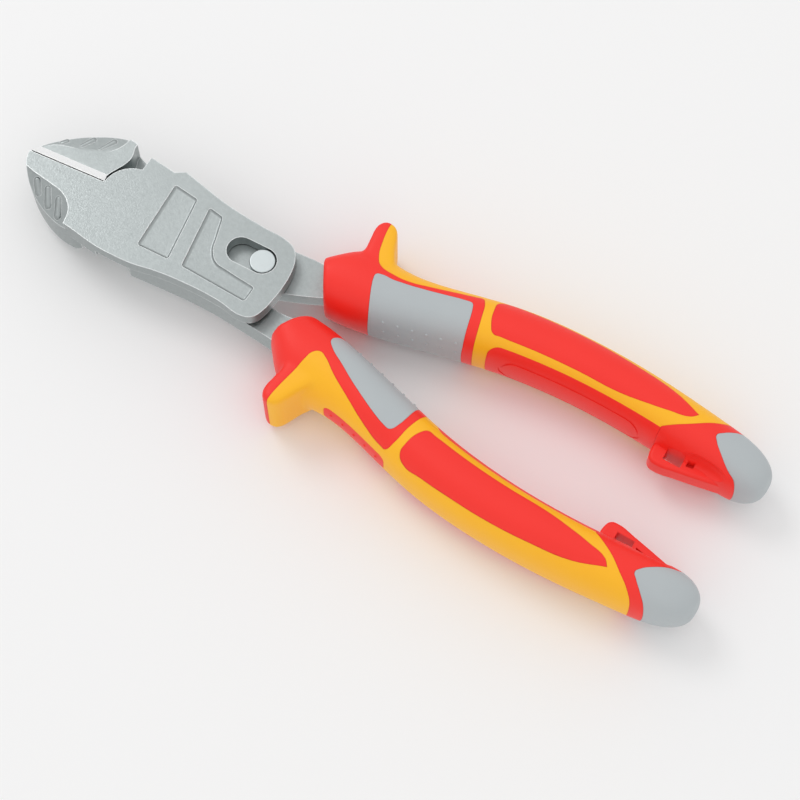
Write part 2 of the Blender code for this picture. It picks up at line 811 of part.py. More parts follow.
def main():
    for leftover in list(bpy.data.objects):
        bpy.data.objects.remove(leftover, do_unlink=True)
    steel = material("satin steel", (0.48, 0.53, 0.54), 0.35, 1.0)
    yellow = material("yellow core moulding", (1.0, 0.48, 0.02), 0.5)
    red = material("red soft moulding", (0.9, 0.05, 0.04), 0.5)
    grey = material("grey moulding", (0.37, 0.42, 0.45), 0.5)
    looks = (yellow, red, grey)
    rivet, fulcrum, slider = pins(steel)
    carry(axis_empty("jaw_lever_base", RIVET), [jaw_lever(steel), rivet, fulcrum, *grip("lower", -1, looks)])
    carry(axis_empty("handle_hinge_axis", FULCRUM), [drive_lever(steel), slider, *grip("upper", 1, looks)])
    carry(axis_empty("jaw_hinge_axis", RIVET), [jaw_plate(steel)])


main()
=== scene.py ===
"""Looks of the compound diagonal cutting pliers: satin steel head and two multi-shot moulded grips.

Plan sizes are in millimetres. x is measured from the main rivet towards the grip ends and y from
the middle line between the handles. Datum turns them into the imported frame's metres.
"""

import json
import logging
import math
from collections.abc import Sequence
from dataclasses import dataclass
from enum import Enum
from typing import ClassVar

import bpy
from mathutils import Matrix, Vector

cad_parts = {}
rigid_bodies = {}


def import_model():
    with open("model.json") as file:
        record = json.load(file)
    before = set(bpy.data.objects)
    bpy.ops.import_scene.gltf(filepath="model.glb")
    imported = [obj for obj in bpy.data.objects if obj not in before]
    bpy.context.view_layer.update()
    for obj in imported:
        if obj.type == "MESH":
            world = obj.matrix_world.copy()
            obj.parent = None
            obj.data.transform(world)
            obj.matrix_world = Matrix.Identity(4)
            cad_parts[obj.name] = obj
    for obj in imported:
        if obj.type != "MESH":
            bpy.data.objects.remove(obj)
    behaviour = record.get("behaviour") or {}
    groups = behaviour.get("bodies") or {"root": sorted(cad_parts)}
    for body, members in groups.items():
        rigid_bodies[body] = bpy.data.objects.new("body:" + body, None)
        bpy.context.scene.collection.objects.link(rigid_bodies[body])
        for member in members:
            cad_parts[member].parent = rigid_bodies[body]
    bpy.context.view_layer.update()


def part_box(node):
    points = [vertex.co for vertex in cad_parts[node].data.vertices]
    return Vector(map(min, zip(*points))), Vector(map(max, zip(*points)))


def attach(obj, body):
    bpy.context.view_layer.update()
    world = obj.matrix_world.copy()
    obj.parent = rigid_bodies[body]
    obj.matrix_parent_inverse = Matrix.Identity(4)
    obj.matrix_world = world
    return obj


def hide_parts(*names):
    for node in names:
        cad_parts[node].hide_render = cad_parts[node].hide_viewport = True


LOG = logging.getLogger("pliers")
MM = 0.001
# Heights in mm that a block over the whole grip reaches past it on both sides.
BELOW_ALL = -6.0
ABOVE_ALL = 26.0
# Least cosine by which a grown outline's corner is drawn out.
MITRE_LIMIT = 0.4
# Points of an outline in mm: (x, y) on a smooth stretch, (x, y, 1) at a corner.
Outline = Sequence[tuple[float, ...]]


class Change(Enum):
    """What a tool does to the piece that it is used on."""

    CUT = "DIFFERENCE"
    JOIN = "UNION"
    KEEP_SHARED = "INTERSECT"


class Side(Enum):
    """Which handle a grip belongs to, as the sign of its y."""

    UPPER = 1
    LOWER = -1


# ---------------------------------------------------------------- selecting and shaping


def choose(piece: bpy.types.Object) -> bpy.types.Object:
    """Makes the piece the only one selected, and active.

    Args:
        piece: The object to work on.

    Returns:
        The same object.
    """
    for other in bpy.context.view_layer.objects:
        other.select_set(False)
    piece.select_set(True)
    bpy.context.view_layer.objects.active = piece
    return piece


def choose_none() -> None:
    """Clears the selection, so that a new primitive stands alone."""
    for other in bpy.context.view_layer.objects:
        other.select_set(False)


def apply_modifiers(piece: bpy.types.Object) -> bpy.types.Object:
    """Applies every modifier on the piece, in order.

    Args:
        piece: The object whose modifiers become its mesh.

    Returns:
        The same object.
    """
    choose(piece)
    for modifier in list(piece.modifiers):
        bpy.ops.object.modifier_apply(modifier=modifier.name)
    return piece


def apply_place(piece: bpy.types.Object) -> bpy.types.Object:
    """Moves the piece's place and turn into its mesh.

    Args:
        piece: The object that then sits at the origin.

    Returns:
        The same object.
    """
    choose(piece)
    bpy.ops.object.transform_apply(location=True, rotation=True, scale=True)
    return piece


def shape(
    body: bpy.types.Object,
    tool: bpy.types.Object,
    how: Change = Change.CUT,
    keep: bool = False,
) -> bpy.types.Object:
    """Changes body with tool. The manifold solver leaves these dense meshes closed.

    Args:
        body: The piece that changes.
        tool: The closed mesh that shapes it.
        how: What the tool does.
        keep: Whether the tool is used again.

    Returns:
        The changed body.
    """
    change = body.modifiers.new("shape", "BOOLEAN")
    change.operation = how.value
    change.solver = "MANIFOLD"
    change.object = tool
    apply_modifiers(body)
    if not keep:
        bpy.data.objects.remove(tool, do_unlink=True)
    return body


def copy_of(piece: bpy.types.Object, name: str) -> bpy.types.Object:
    """Copies a piece.

    Args:
        piece: The object to copy.
        name: The copy's name.

    Returns:
        The copy, with its own mesh.
    """
    made = piece.copy()
    made.data = piece.data.copy()
    made.name = name
    bpy.context.scene.collection.objects.link(made)
    return made


def soften(piece: bpy.types.Object, width: float, segments: int = 3, angle: float = 38.0) -> None:
    """Rounds the piece's sharp edges.

    Args:
        piece: A closed mesh.
        width: Width of the rounding in mm.
        segments: Steps across the rounding.
        angle: Least angle in degrees between faces whose edge is rounded.
    """
    bevel = piece.modifiers.new("soften", "BEVEL")
    bevel.width = width * MM
    bevel.segments = segments
    bevel.limit_method = "ANGLE"
    bevel.angle_limit = math.radians(angle)
    bevel.miter_outer = "MITER_ARC"
    apply_modifiers(piece)


def smooth(piece: bpy.types.Object, angle: float = 40.0) -> None:
    """Shades the piece smooth with its large faces flat.

    Args:
        piece: The object to shade.
        angle: Least angle in degrees of an edge that stays crisp.
    """
    choose(piece)
    bpy.ops.object.shade_smooth_by_angle(angle=math.radians(angle))
    weigh = piece.modifiers.new("weigh", "WEIGHTED_NORMAL")
    weigh.weight = 100
    weigh.keep_sharp = True
    apply_modifiers(piece)


def clean(piece: bpy.types.Object, flat: float = 0.3) -> bpy.types.Object:
    """Merges doubles and dissolves the edges inside flat faces, with normals outwards.

    Args:
        piece: The object to clean.
        flat: Most degrees between faces that count as one flat face.

    Returns:
        The same object.
    """
    choose(piece)
    bpy.ops.object.mode_set(mode="EDIT")
    bpy.ops.mesh.select_all(action="SELECT")
    bpy.ops.mesh.remove_doubles(threshold=0.0005 * MM)
    bpy.ops.mesh.dissolve_limited(angle_limit=math.radians(flat))
    bpy.ops.mesh.normals_make_consistent(inside=False)
    bpy.ops.object.mode_set(mode="OBJECT")
    return piece


@dataclass(frozen=True)
class Datum:
    """Heights and the rivet's place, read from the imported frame, in mm."""

    rivet_x: float
    rivet_y: float
    middle_y: float
    head_low: float
    head_high: float

    @classmethod
    def from_frame(cls) -> "Datum":
        """Reads the datum from the CAD nodes' boxes.

        Returns:
            The tool's datum.
        """
        low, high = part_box("main_pivot_rivet")
        plate_low, plate_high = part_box("jaw_plate")
        core_low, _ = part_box("lower_core_sleeve")
        _, core_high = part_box("upper_core_sleeve")
        return cls(
            rivet_x=(low.x + high.x) / 2 / MM,
            rivet_y=(low.y + high.y) / 2 / MM,
            middle_y=(core_low.y + core_high.y) / 2 / MM,
            head_low=plate_low.z / MM,
            head_high=plate_high.z / MM,
        )

    @property
    def middle_z(self) -> float:
        """Height of the tool's middle plane."""
        return (self.head_low + self.head_high) / 2

    def at(self, x: float, y: float, z: float) -> Vector:
        """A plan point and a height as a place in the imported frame, in metres."""
        return Vector(((x + self.rivet_x) * MM, (y + self.middle_y) * MM, z * MM))


def outline_block(
    datum: Datum, name: str, points: Outline, low: float, high: float, corners: bool = False
) -> bpy.types.Object:
    """A solid whose plan is a closed outline.

    Args:
        datum: The tool's datum.
        name: The object's name.
        points: The outline.
        low: Underside height in mm.
        high: Top height in mm.
        corners: Whether every point is a corner.

    Returns:
        The closed block.
    """
    curve = bpy.data.curves.new(name, "CURVE")
    curve.dimensions = "2D"
    curve.fill_mode = "BOTH"
    curve.extrude = (high - low) / 2 * MM
    curve.resolution_u = 5
    spline = curve.splines.new("BEZIER")
    spline.bezier_points.add(len(points) - 1)
    for knot, point in zip(spline.bezier_points, points):
        place = datum.at(point[0], point[1], 0.0)
        sharp = corners or len(point) > 2
        knot.co = (place.x, place.y, 0.0)
        knot.handle_left_type = knot.handle_right_type = "VECTOR" if sharp else "AUTO"
    spline.use_cyclic_u = True
    block = bpy.data.objects.new(name, curve)
    block.location = (0.0, 0.0, (low + high) / 2 * MM)
    bpy.context.scene.collection.objects.link(block)
    choose(block)
    bpy.ops.object.convert(target="MESH")
    block = bpy.context.view_layer.objects.active
    apply_place(block)
    return clean(block)


def profile_block(
    name: str, profile: Outline, length: float, origin: Vector, across: Vector, upward: Vector
) -> bpy.types.Object:
    """A straight bar with a closed profile.

    Args:
        name: The object's name.
        profile: The outline, across and upward. Without a corner mark, all its points are corners.
        length: Length in mm along across x upward.
        origin: Where the profile's zero lies, in metres.
        across: Unit direction of the profile's first axis.
        upward: Unit direction of its second axis.

    Returns:
        The closed bar.
    """
    smooth_points = any(len(p) > 2 for p in profile)
    plain = Datum(0, 0, 0, 0, 0)
    bar = outline_block(plain, name, profile, 0.0, length, corners=not smooth_points)
    run = across.cross(upward)
    turn = Matrix((across, upward, run)).transposed().to_4x4()
    bar.matrix_world = Matrix.Translation(origin) @ turn
    return apply_place(bar)


def swept(
    datum: Datum, name: str, stations: list, vertices: int, square: float, levels: int
) -> bpy.types.Object:
    """A tube that is extruded from station to station, closed at both ends.

    Args:
        datum: The tool's datum.
        name: The object's name.
        stations: (x, middle y, half width, half height, middle z) in mm.
        vertices: Corners of the section.
        square: 1 for an ellipse, less for a squarer section.
        levels: Subdivision levels.

    Returns:
        The closed tube.
    """
    choose_none()
    bpy.ops.mesh.primitive_circle_add(vertices=vertices, radius=1.0, rotation=(0, math.pi / 2, 0))
    tube = bpy.context.active_object
    tube.name = name
    apply_place(tube)
    x, middle, half_width, half_height, height = stations[0]
    start = datum.at(x, middle, height)
    for vertex in tube.data.vertices:
        y = math.copysign(abs(vertex.co.y) ** square, vertex.co.y)
        z = math.copysign(abs(vertex.co.z) ** square, vertex.co.z)
        vertex.co = start + Vector((0.0, y * half_width * MM, z * half_height * MM))
    bpy.ops.object.mode_set(mode="EDIT")
    bpy.ops.mesh.select_all(action="SELECT")
    bpy.ops.mesh.edge_face_add()
    here = start
    for (_, _, wide, tall, _), (x, middle, half_width, half_height, height) in zip(stations, stations[1:]):
        there = datum.at(x, middle, height)
        bpy.ops.mesh.extrude_region_move(TRANSFORM_OT_translate={"value": there - here})
        bpy.ops.transform.resize(
            value=(1.0, half_width / wide, half_height / tall), center_override=there
        )
        here = there
    bpy.ops.mesh.select_all(action="SELECT")
    bpy.ops.mesh.normals_make_consistent(inside=False)
    bpy.ops.object.mode_set(mode="OBJECT")
    if levels:
        rounding = tube.modifiers.new("rounding", "SUBSURF")
        rounding.levels = rounding.render_levels = levels
        apply_modifiers(tube)
    return tube


def slice_off(piece: bpy.types.Object, place: Vector, normal: Vector) -> None:
    """Removes what lies on one side of a plane, and closes the cut.

    Args:
        piece: The object to cut.
        place: A point on the plane, in metres.
        normal: The direction of the side that goes.
    """
    choose(piece)
    bpy.ops.object.mode_set(mode="EDIT")
    bpy.ops.mesh.select_all(action="SELECT")
    bpy.ops.mesh.bisect(plane_co=place, plane_no=normal, use_fill=True, clear_outer=True)
    bpy.ops.object.mode_set(mode="OBJECT")


def arc(centre: Sequence[float], radius: float, start: float, end: float, steps: int) -> list:
    """Corner points round an arc.

    Args:
        centre: Its centre in mm.
        radius: Its radius in mm.
        start: Bearing of its first point in degrees.
        end: Bearing of its last point.
        steps: How many straight steps it has.

    Returns:
        The points.
    """
    angles = [math.radians(start + (end - start) * i / steps) for i in range(steps + 1)]
    return [
        (centre[0] + radius * math.cos(a), centre[1] + radius * math.sin(a), 1) for a in angles
    ]


def grown(points: Outline, distance: float) -> list:
    """Moves a closed outline outwards.

    Args:
        points: The outline.
        distance: How far in mm, less than 0 for inwards.

    Returns:
        The moved outline, with its corner marks kept.
    """
    points = list(points)
    flat = [Vector(p[:2]) for p in points]
    area = sum(a.x * b.y - b.x * a.y for a, b in zip(flat, flat[1:] + flat[:1]))
    turn = math.copysign(1.0, area)
    result = []
    for before, here, after, mark in zip(flat[-1:] + flat[:-1], flat, flat[1:] + flat[:1], points):
        first = (here - before).normalized()
        second = (after - here).normalized()
        out = Vector((first.y, -first.x)) * turn
        bisector = (out + Vector((second.y, -second.x)) * turn).normalized()
        moved = here + bisector * (distance / max(bisector.dot(out), MITRE_LIMIT))
        result.append((moved.x, moved.y, *mark[2:]))
    return result


def flip(points: Outline, side: Side) -> list:
    """The outline on the given handle's side."""
    return [(p[0], p[1] * side.value, *p[2:]) for p in points]


# ---------------------------------------------------------------- finishes


def linear(code: str) -> tuple[float, float, float, float]:
    """Turns an sRGB colour to linear.

    Args:
        code: The colour as # and six hex digits.

    Returns:
        Linear red, green, blue and an alpha of 1.
    """
    parts = [int(code[i : i + 2], 16) / 255 for i in (1, 3, 5)]
    red, green, blue = (c / 12.92 if c <= 0.04045 else ((c + 0.055) / 1.055) ** 2.4 for c in parts)
    return red, green, blue, 1.0


def node(tree: bpy.types.NodeTree, kind: str, settings: dict, inputs: dict) -> bpy.types.Node:
    """Adds a node.

    Args:
        tree: The tree that it goes in.
        kind: Its type name.
        settings: Its own settings by name.
        inputs: A value, or a socket to link, for each input.

    Returns:
        The new node.
    """
    made = tree.nodes.new(kind)
    for key, value in settings.items():
        setattr(made, key, value)
    for key, value in inputs.items():
        if isinstance(value, bpy.types.NodeSocket):
            tree.links.new(value, made.inputs[key])
        else:
            made.inputs[key].default_value = value
    return made


@dataclass(frozen=True)
class Finish:
    """A surface: two colours that mottle into each other, a grain and, where set, a painted highlight
    along its edges.

    The mottle is the slow change of shade in plating or in a moulding. The grain is the grit of the
    blasting or of the eroded mould, drawn a few times coarser than it is, so that it shows.
    """

    name: str
    slot: str
    colour: str
    shade: str
    metallic: float
    roughness: tuple[float, float]
    mottle_mm: float
    grain_mm: float
    grain_height_mm: float
    # Colour of a painted highlight along rounded edges, standing in for lamp gleam; empty for none.
    edge_highlight: str = ""

    def material(self) -> bpy.types.Material:
        """Makes the finish's node material, once.

        Returns:
            The material.
        """
        made = bpy.data.materials.get(self.name)
        if made:
            return made
        made = bpy.data.materials.new(self.name)
        made.use_nodes = True
        tree = made.node_tree
        tree.nodes.clear()
        place = node(tree, "ShaderNodeTexCoord", {}, {}).outputs["Object"]
        mottle = node(
            tree,
            "ShaderNodeTexNoise",
            {},
            {"Vector": place, "Scale": 1 / (self.mottle_mm * MM), "Detail": 4.0, "Roughness": 0.6},
        )
        grain = node(
            tree,
            "ShaderNodeTexNoise",
            {},
            {"Vector": place, "Scale": 1 / (self.grain_mm * MM), "Detail": 3.0, "Roughness": 0.55},
        )
        colour = node(
            tree,
            "ShaderNodeMix",
            {"data_type": "RGBA"},
            {0: mottle.outputs["Fac"], 6: linear(self.colour), 7: linear(self.shade)},
        ).outputs[2]
        # Painted highlight: the edges are lightened in the colour, as if a lamp caught them.
        if self.edge_highlight:
            colour = self.add_edge_highlight(tree, colour)
        rough = node(
            tree,
            "ShaderNodeMapRange",
            {},
            {
                "Value": grain.outputs["Fac"],
                "From Min": 0.3,
                "From Max": 0.7,
                "To Min": self.roughness[0],
                "To Max": self.roughness[1],
            },
        )
        bump = node(
            tree,
            "ShaderNodeBump",
            {},
            {"Strength": 0.6, "Distance": self.grain_height_mm * MM, "Height": grain.outputs["Fac"]},
        )
        shader = node(
            tree,
            "ShaderNodeBsdfPrincipled",
            {},
            {
                "Base Color": colour,
                "Roughness": rough.outputs["Result"],
                "Normal": bump.outputs["Normal"],
                "Metallic": self.metallic,
            },
        )
        node(tree, "ShaderNodeOutputMaterial", {}, {"Surface": shader.outputs["BSDF"]})
        return made

    def add_edge_highlight(
        self, tree: bpy.types.NodeTree, colour: bpy.types.NodeSocket
    ) -> bpy.types.NodeSocket:
        """The colour, lightened along rounded edges into a painted highlight that stands in for a lamp's
        gleam.

        Args:
            tree: The node tree the finish is made in.
            colour: The colour of the open faces.

        Returns:
            The colour socket with the painted edge highlight in it.
        """
        face = node(tree, "ShaderNodeNewGeometry", {}, {}).outputs["Normal"]
        rounded = node(tree, "ShaderNodeBevel", {"samples": 4}, {"Radius": 0.35 * MM})
        along = node(
            tree,
            "ShaderNodeVectorMath",
            {"operation": "DOT_PRODUCT"},
            {0: face, 1: rounded.outputs["Normal"]},
        )
        # Mask of the painted edge highlight: where the rounded normal turns away from the face's.
        edge = node(
            tree,
            "ShaderNodeMapRange",
            {},
            {"Value": along.outputs["Value"], "From Min": 0.995, "From Max": 0.9},
        )
        return node(
            tree,
            "ShaderNodeMix",
            {"data_type": "RGBA"},
            {0: edge.outputs["Result"], 6: colour, 7: linear(self.edge_highlight)},
        ).outputs[2]

    def dress(self, piece: bpy.types.Object) -> None:
        """Gives the piece this finish and nothing else."""
        piece.data.materials.clear()
        piece.data.materials.append(self.material())


# Chrome vanadium steel, drop forged, blasted and plated: a satin grey with a fine grit, and a painted
# highlight along its edges in place of the lamps' gleam on them.
BLASTED_STEEL = Finish(
    name="blasted_plated_steel",
    slot="forged_steel",
    colour="#9aa0a0",
    shade="#afb5b5",
    metallic=1.0,
    roughness=(0.32, 0.5),
    mottle_mm=0.9,
    grain_mm=0.4,
    grain_height_mm=0.045,
    # Colour of the painted edge highlight.
    edge_highlight="#e6e9e9",
)
# Silver steel pins, ground after riveting: paler and smoother than the forgings.
GROUND_STEEL = Finish(
    name="ground_pin_steel",
    slot="pin_steel",
    colour="#c0c7c8",
    shade="#c8cfd0",
    metallic=1.0,
    roughness=(0.3, 0.4),
    mottle_mm=4.0,
    grain_mm=0.2,
    grain_height_mm=0.008,
)
# Hardened cutting edges, fine ground through the plating: nearly white under a soft lamp.
EDGE_STEEL = Finish(
    name="honed_edge_steel",
    slot="forged_steel",
    colour="#f8f9f9",
    shade="#fdfdfd",
    metallic=0.75,
    roughness=(0.25, 0.35),
    mottle_mm=5.0,
    grain_mm=0.15,
    grain_height_mm=0.004,
)
# Polypropylene core, injection moulded in an eroded mould: an even, matt warm yellow.
YELLOW_CORE = Finish(
    name="yellow_moulded_core",
    slot="yellow_core",
    colour="#ffbc08",
    shade="#ffb60a",
    metallic=0.0,
    roughness=(0.44, 0.54),
    mottle_mm=9.0,
    grain_mm=0.4,
    grain_height_mm=0.012,
)
# Thermoplastic elastomer, moulded over the core: soft, matt and bright red.
RED_SHOT = Finish(
    name="red_moulded_elastomer",
    slot="red_shot",
    colour="#fb2a1e",
    shade="#f6261b",
    metallic=0.0,
    roughness=(0.44, 0.54),
    mottle_mm=9.0,
    grain_mm=0.35,
    grain_height_mm=0.014,
)
# The same elastomer in a cool grey, a little more matt.
GREY_SHOT = Finish(
    name="grey_moulded_elastomer",
    slot="grey_shot",
    colour="#b6bcbe",
    shade="#b1b7ba",
    metallic=0.0,
    roughness=(0.46, 0.58),
    mottle_mm=9.0,
    grain_mm=0.35,
    grain_height_mm=0.014,
)


def hand_over(piece: bpy.types.Object, finish: Finish, body: str, *nodes: str) -> None:
    """Dresses a finished piece and ties it to the frame.

    Args:
        piece: The finished piece.
        finish: Its finish.
        body: The CAD body that it rides on.
        nodes: The CAD nodes that it stands for.
    """
    finish.dress(piece)
    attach(piece, body)
    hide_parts(*nodes)
    LOG.info("%s: %d faces", piece.name, len(piece.data.polygons))


# ---------------------------------------------------------------- head


@dataclass
class Head:
    """Both jaws, the drive lever and the pins. Outlines are plans with the jaws closed."""

    datum: Datum
    # The cutting line: its tip, its angle to the middle line and the boss that it ends at.
    jaw_reach: float = 26.9
    cut_tip_y: float = -0.8
    cut_angle: float = math.radians(6.4)
    boss_radius: float = 7.2
    # The lap joint, the room between moving faces, the layers and the linkage.
    lap_radius: float = 10.5
    gap: float = 0.3
    plate_thickness: float = 3.3
    floor_thickness: float = 3.1
    rim_thickness: float = 6.5
    slot_pin: tuple[float, float] = (35.0, 3.1)
    pin_radius: float = 3.0
    pin_travel: float = 5.33
    fulcrum_arch: float = math.radians(15.0)
    lever_nose: float = 6.0
    # Width in the upper jaw, width in the lower jaw and depth.
    top_bevel: tuple[float, float, float] = (1.45, 0.5, 0.95)
    under_bevel: tuple[float, float, float] = (1.5, 1.5, 3.6)
    # Width beside the cutting line in which a face counts as its bevel.
    edge_width: float = 1.5
    # Where the boss ends.
    wall_x: float = -1.5
    # How far cutters reach past the faces, the sides and the rear end.
    past: float = 9.0
    aside: float = 26.0
    beyond: float = 66.0
    # Roundings: the lower jaw's heel, the forged edges and the broken edges. Depth of the fields.
    heel_corner: tuple[float, float] = (-8.3, -10.2)
    heel_radius: float = 2.7
    plate_round: float = 0.75
    lever_round: float = 0.8
    drive_round: float = 0.5
    plate_break: float = 0.16
    lever_break: float = 0.12
    pin_break: float = 0.3
    field_depth: float = 0.5
    # Scallops: depth at the hinge line in mm and outward fall in degrees, and their raised bars.
    lower_fall: tuple[float, float] = (0.7, 26.0)
    upper_fall: tuple[float, float] = (0.12, -9.0)
    ridge_radius: float = 1.0
    ridge_depths: tuple[float, float] = (1.1, 2.75)
    bar_radius: float = 0.9
    bar_depths: tuple[float, float] = (0.85, 1.05)
    # The pins' heads and shanks.
    rivet_radius: float = 5.6
    fulcrum_radius: float = 4.4
    head_height: float = 1.6
    shank_share: float = 0.7
    # Half width and half height of the tangs, and how square they are.
    tang_half: tuple[float, float] = (3.4, 4.1)
    tang_square: float = 0.62
    plate_back: Outline = (
        (-1.5, 12.0, 1), (5.3, 11.5, 1), (7.5, 13.0, 1), (12.2, 12.2), (20.3, 10.9), (30.5, 10.4),
        (37.0, 10.3), (39.6, 9.3), (41.2, 7.3), (42.2, 4.2), (42.6, 0.0), (42.4, -3.7),
        (41.9, -7.4), (40.9, -9.7), (38.8, -10.9), (31.7, -10.5), (23.8, -10.8), (15.9, -11.8),
        (10.1, -13.1), (5.3, -13.6), (0.1, -13.7), (-4.1, -13.3), (-7.9, -12.9),
    )
    lower_jaw_back: Outline = (
        (-10.7, -12.8), (-14.1, -12.1), (-17.4, -10.9), (-21.0, -8.9), (-23.9, -6.4), (-26.0, -3.6),
    )
    lever_lower_edge: Outline = (
        (-1.5, -10.9, 1), (5.3, -10.6, 1), (7.6, -11.9, 1), (12.2, -11.4), (16.8, -10.9),
        (27.1, -10.1), (37.4, -10.3), (45.0, -10.7), (53.0, -11.4, 1), (53.0, -3.2, 1), (38.0, -3.4),
        (30.0, 2.5), (22.0, 9.6), (12.0, 11.3), (5.0, 11.5), (-2.0, 11.9),
    )
    upper_jaw_back: Outline = (
        (-5.2, 12.7), (-7.0, 13.3), (-8.9, 13.2), (-12.0, 12.1), (-15.7, 10.0), (-19.5, 7.2),
        (-23.3, 3.4), (-26.0, 0.0),
    )
    jaw_heel: Outline = ((-5.7, 7.4), (-5.4, 9.5), (-6.2, 12.1, 1))
    rim_inner: Outline = ((18.3, -9.3), (24.0, -8.2), (30.0, -6.2), (36.0, -4.2), (46.0, -1.4, 1))
    drive_lower: Outline = ((30.0, -4.6), (36.0, -2.6), (41.6, -0.4), (49.4, 3.1), (53.0, 5.2, 1))
    drive_upper: Outline = (
        (53.0, 10.7, 1), (45.3, 11.0), (40.0, 10.5), (34.0, 10.0), (28.0, 9.3), (22.0, 6.4, 1),
    )
    fields: Sequence[Outline] = (
        ((7.2, 9.0, 1), (13.8, 8.5, 1), (16.6, -7.9, 1), (8.4, -8.5, 1)),
        (
            (17.2, 8.2, 1), (21.3, 7.7, 1), (22.8, 3.0), (24.2, -0.8), (26.4, -2.8), (29.0, -3.1),
            (37.2, -3.5, 1), (37.2, -7.7, 1), (20.0, -7.7, 1),
        ),
    )
    lower_scallop: Outline = (
        (-25.0, -4.9, 1), (-23.0, -5.3), (-17.8, -5.9), (-14.1, -6.5), (-11.5, -7.9), (-9.9, -9.7),
        (-9.1, -12.0, 1), (-9.0, -19.0, 1), (-32.0, -19.0, 1), (-32.0, -4.0, 1),
    )
    lower_hinge: Outline = ((-24.0, -5.0), (-9.0, -9.2))
    ridges: Sequence[Outline] = (
        ((-21.6, -5.7), (-18.6, -9.2)), ((-18.0, -6.1), (-15.0, -10.8)), ((-14.2, -7.0), (-11.6, -11.9)),
    )
    upper_scallop: Outline = (
        (-24.6, 1.2, 1), (-22.6, 3.0), (-18.2, 4.7), (-13.8, 5.9), (-10.6, 8.4), (-9.0, 11.0),
        (-8.4, 14.0, 1), (-8.4, 20.0, 1), (-32.0, 20.0, 1), (-32.0, 1.0, 1),
    )
    upper_hinge: Outline = ((-24.0, 2.4), (-9.0, 9.6))
    bars: Sequence[Outline] = (
        ((-13.3, 6.6), (-11.0, 11.8)), ((-17.5, 5.3), (-15.4, 9.7)), ((-22.0, 3.6), (-20.3, 6.0)),
    )

    @property
    def rivet(self) -> tuple[float, float]:
        """The main rivet's place in plan."""
        return 0.0, self.datum.rivet_y - self.datum.middle_y

    @property
    def fulcrum(self) -> tuple[float, float]:
        """The fulcrum pin's place, which is as far from the rivet as from the slot pin.

        Returns:
            Its plan.
        """
        link = Vector(self.slot_pin) - Vector(self.rivet)
        side = Vector((link.y, -link.x)).normalized()
        place = Vector(self.rivet) + link / 2 + side * (link.length / 2 * math.tan(self.fulcrum_arch))
        return place.x, place.y

    @property
    def plate_under(self) -> float:
        """Underside of the slotted plate."""
        return self.datum.head_high - self.plate_thickness

    @property
    def floor_top(self) -> float:
        """Top of the floor under the drive lever."""
        return self.datum.head_low + self.floor_thickness

    def block(self, name: str, points: Outline, low: float, high: float) -> bpy.types.Object:
        """A block of the head with the given plan."""
        return outline_block(self.datum, name, points, low, high)

    def disc(
        self, name: str, place: Sequence[float], radius: float, low: float, high: float
    ) -> bpy.types.Object:
        """A round bar that stands on end.

        Args:
            name: The object's name.
            place: Its centre in plan.
            radius: Its radius in mm.
            low: Height of its foot.
            high: Height of its top.

        Returns:
            The bar.
        """
        choose_none()
        bpy.ops.mesh.primitive_cylinder_add(
            vertices=64,
            radius=radius * MM,
            depth=(high - low) * MM,
            location=self.datum.at(place[0], place[1], (low + high) / 2),
        )
        made = bpy.context.active_object
        made.name = name
        return apply_place(made)

    def cut_point(self, along: float, offset: float) -> tuple[float, float, int]:
        """A corner on the cutting line.

        Args:
            along: How far from the tip in mm.
            offset: How far beside the line, towards the upper jaw.

        Returns:
            The corner.
        """
        run = Vector((math.cos(self.cut_angle), math.sin(self.cut_angle)))
        place = Vector((-self.jaw_reach, self.cut_tip_y)) + run * along + Vector((-run.y, run.x)) * offset
        return place.x, place.y, 1

    def edge_end(self, radius: float) -> float:
        """Where the cutting line comes near the rivet.

        Args:
            radius: The distance from the rivet in mm.

        Returns:
            How far from the tip the line first comes that near.
        """
        back = Vector(self.rivet) - Vector((-self.jaw_reach, self.cut_tip_y))
        along = back.dot(Vector((math.cos(self.cut_angle), math.sin(self.cut_angle))))
        return along - math.sqrt(radius**2 - (back.length_squared - along**2))

    def groove(
        self, wide: float, narrow: float, depth: float, face: float, up: int
    ) -> bpy.types.Object:
        """The V between the jaws' bevels.

        Args:
            wide: Width of the upper jaw's bevel in mm.
            narrow: Width of the lower jaw's bevel.
            depth: Depth of the edge below the face.
            face: Height of the face.
            up: 1 where it opens upwards, -1 where it opens downwards.

        Returns:
            The cutter.
        """
        over = 4.0
        grow = (depth + over) / depth
        top = face + up * over
        profile = [(wide * grow, top), (-narrow * grow, top), (0.0, face - up * depth)]
        run = Vector((math.cos(self.cut_angle), math.sin(self.cut_angle), 0.0))
        start = self.cut_point(-over, 0.0)
        origin = self.datum.at(start[0], start[1], 0.0)
        length = self.edge_end(self.boss_radius + self.gap) + over
        side = Vector((-run.y, run.x, 0.0))
        return profile_block("groove", profile, length, origin, side, Vector((0, 0, 1)))

    def tip_wedge(self) -> bpy.types.Object:
        """What thins the underside of the jaws towards the tip.

        Returns:
            The cutter.
        """
        start, end, rise = -13.9, -33.0, 3.8
        low = self.datum.head_low
        under = low - self.past
        profile = [(start, low), (end, low + rise), (end, under), (start, under)]
        origin = self.datum.at(0.0, self.aside, 0.0)
        return profile_block(
            "wedge", profile, 2 * self.aside, origin, Vector((1, 0, 0)), Vector((0, 0, 1))
        )

    def mirrored(self, points: Outline) -> list:
        """Points across the line through the rivet along x."""
        return [(p[0], 2 * self.rivet[1] - p[1], *p[2:]) for p in points]

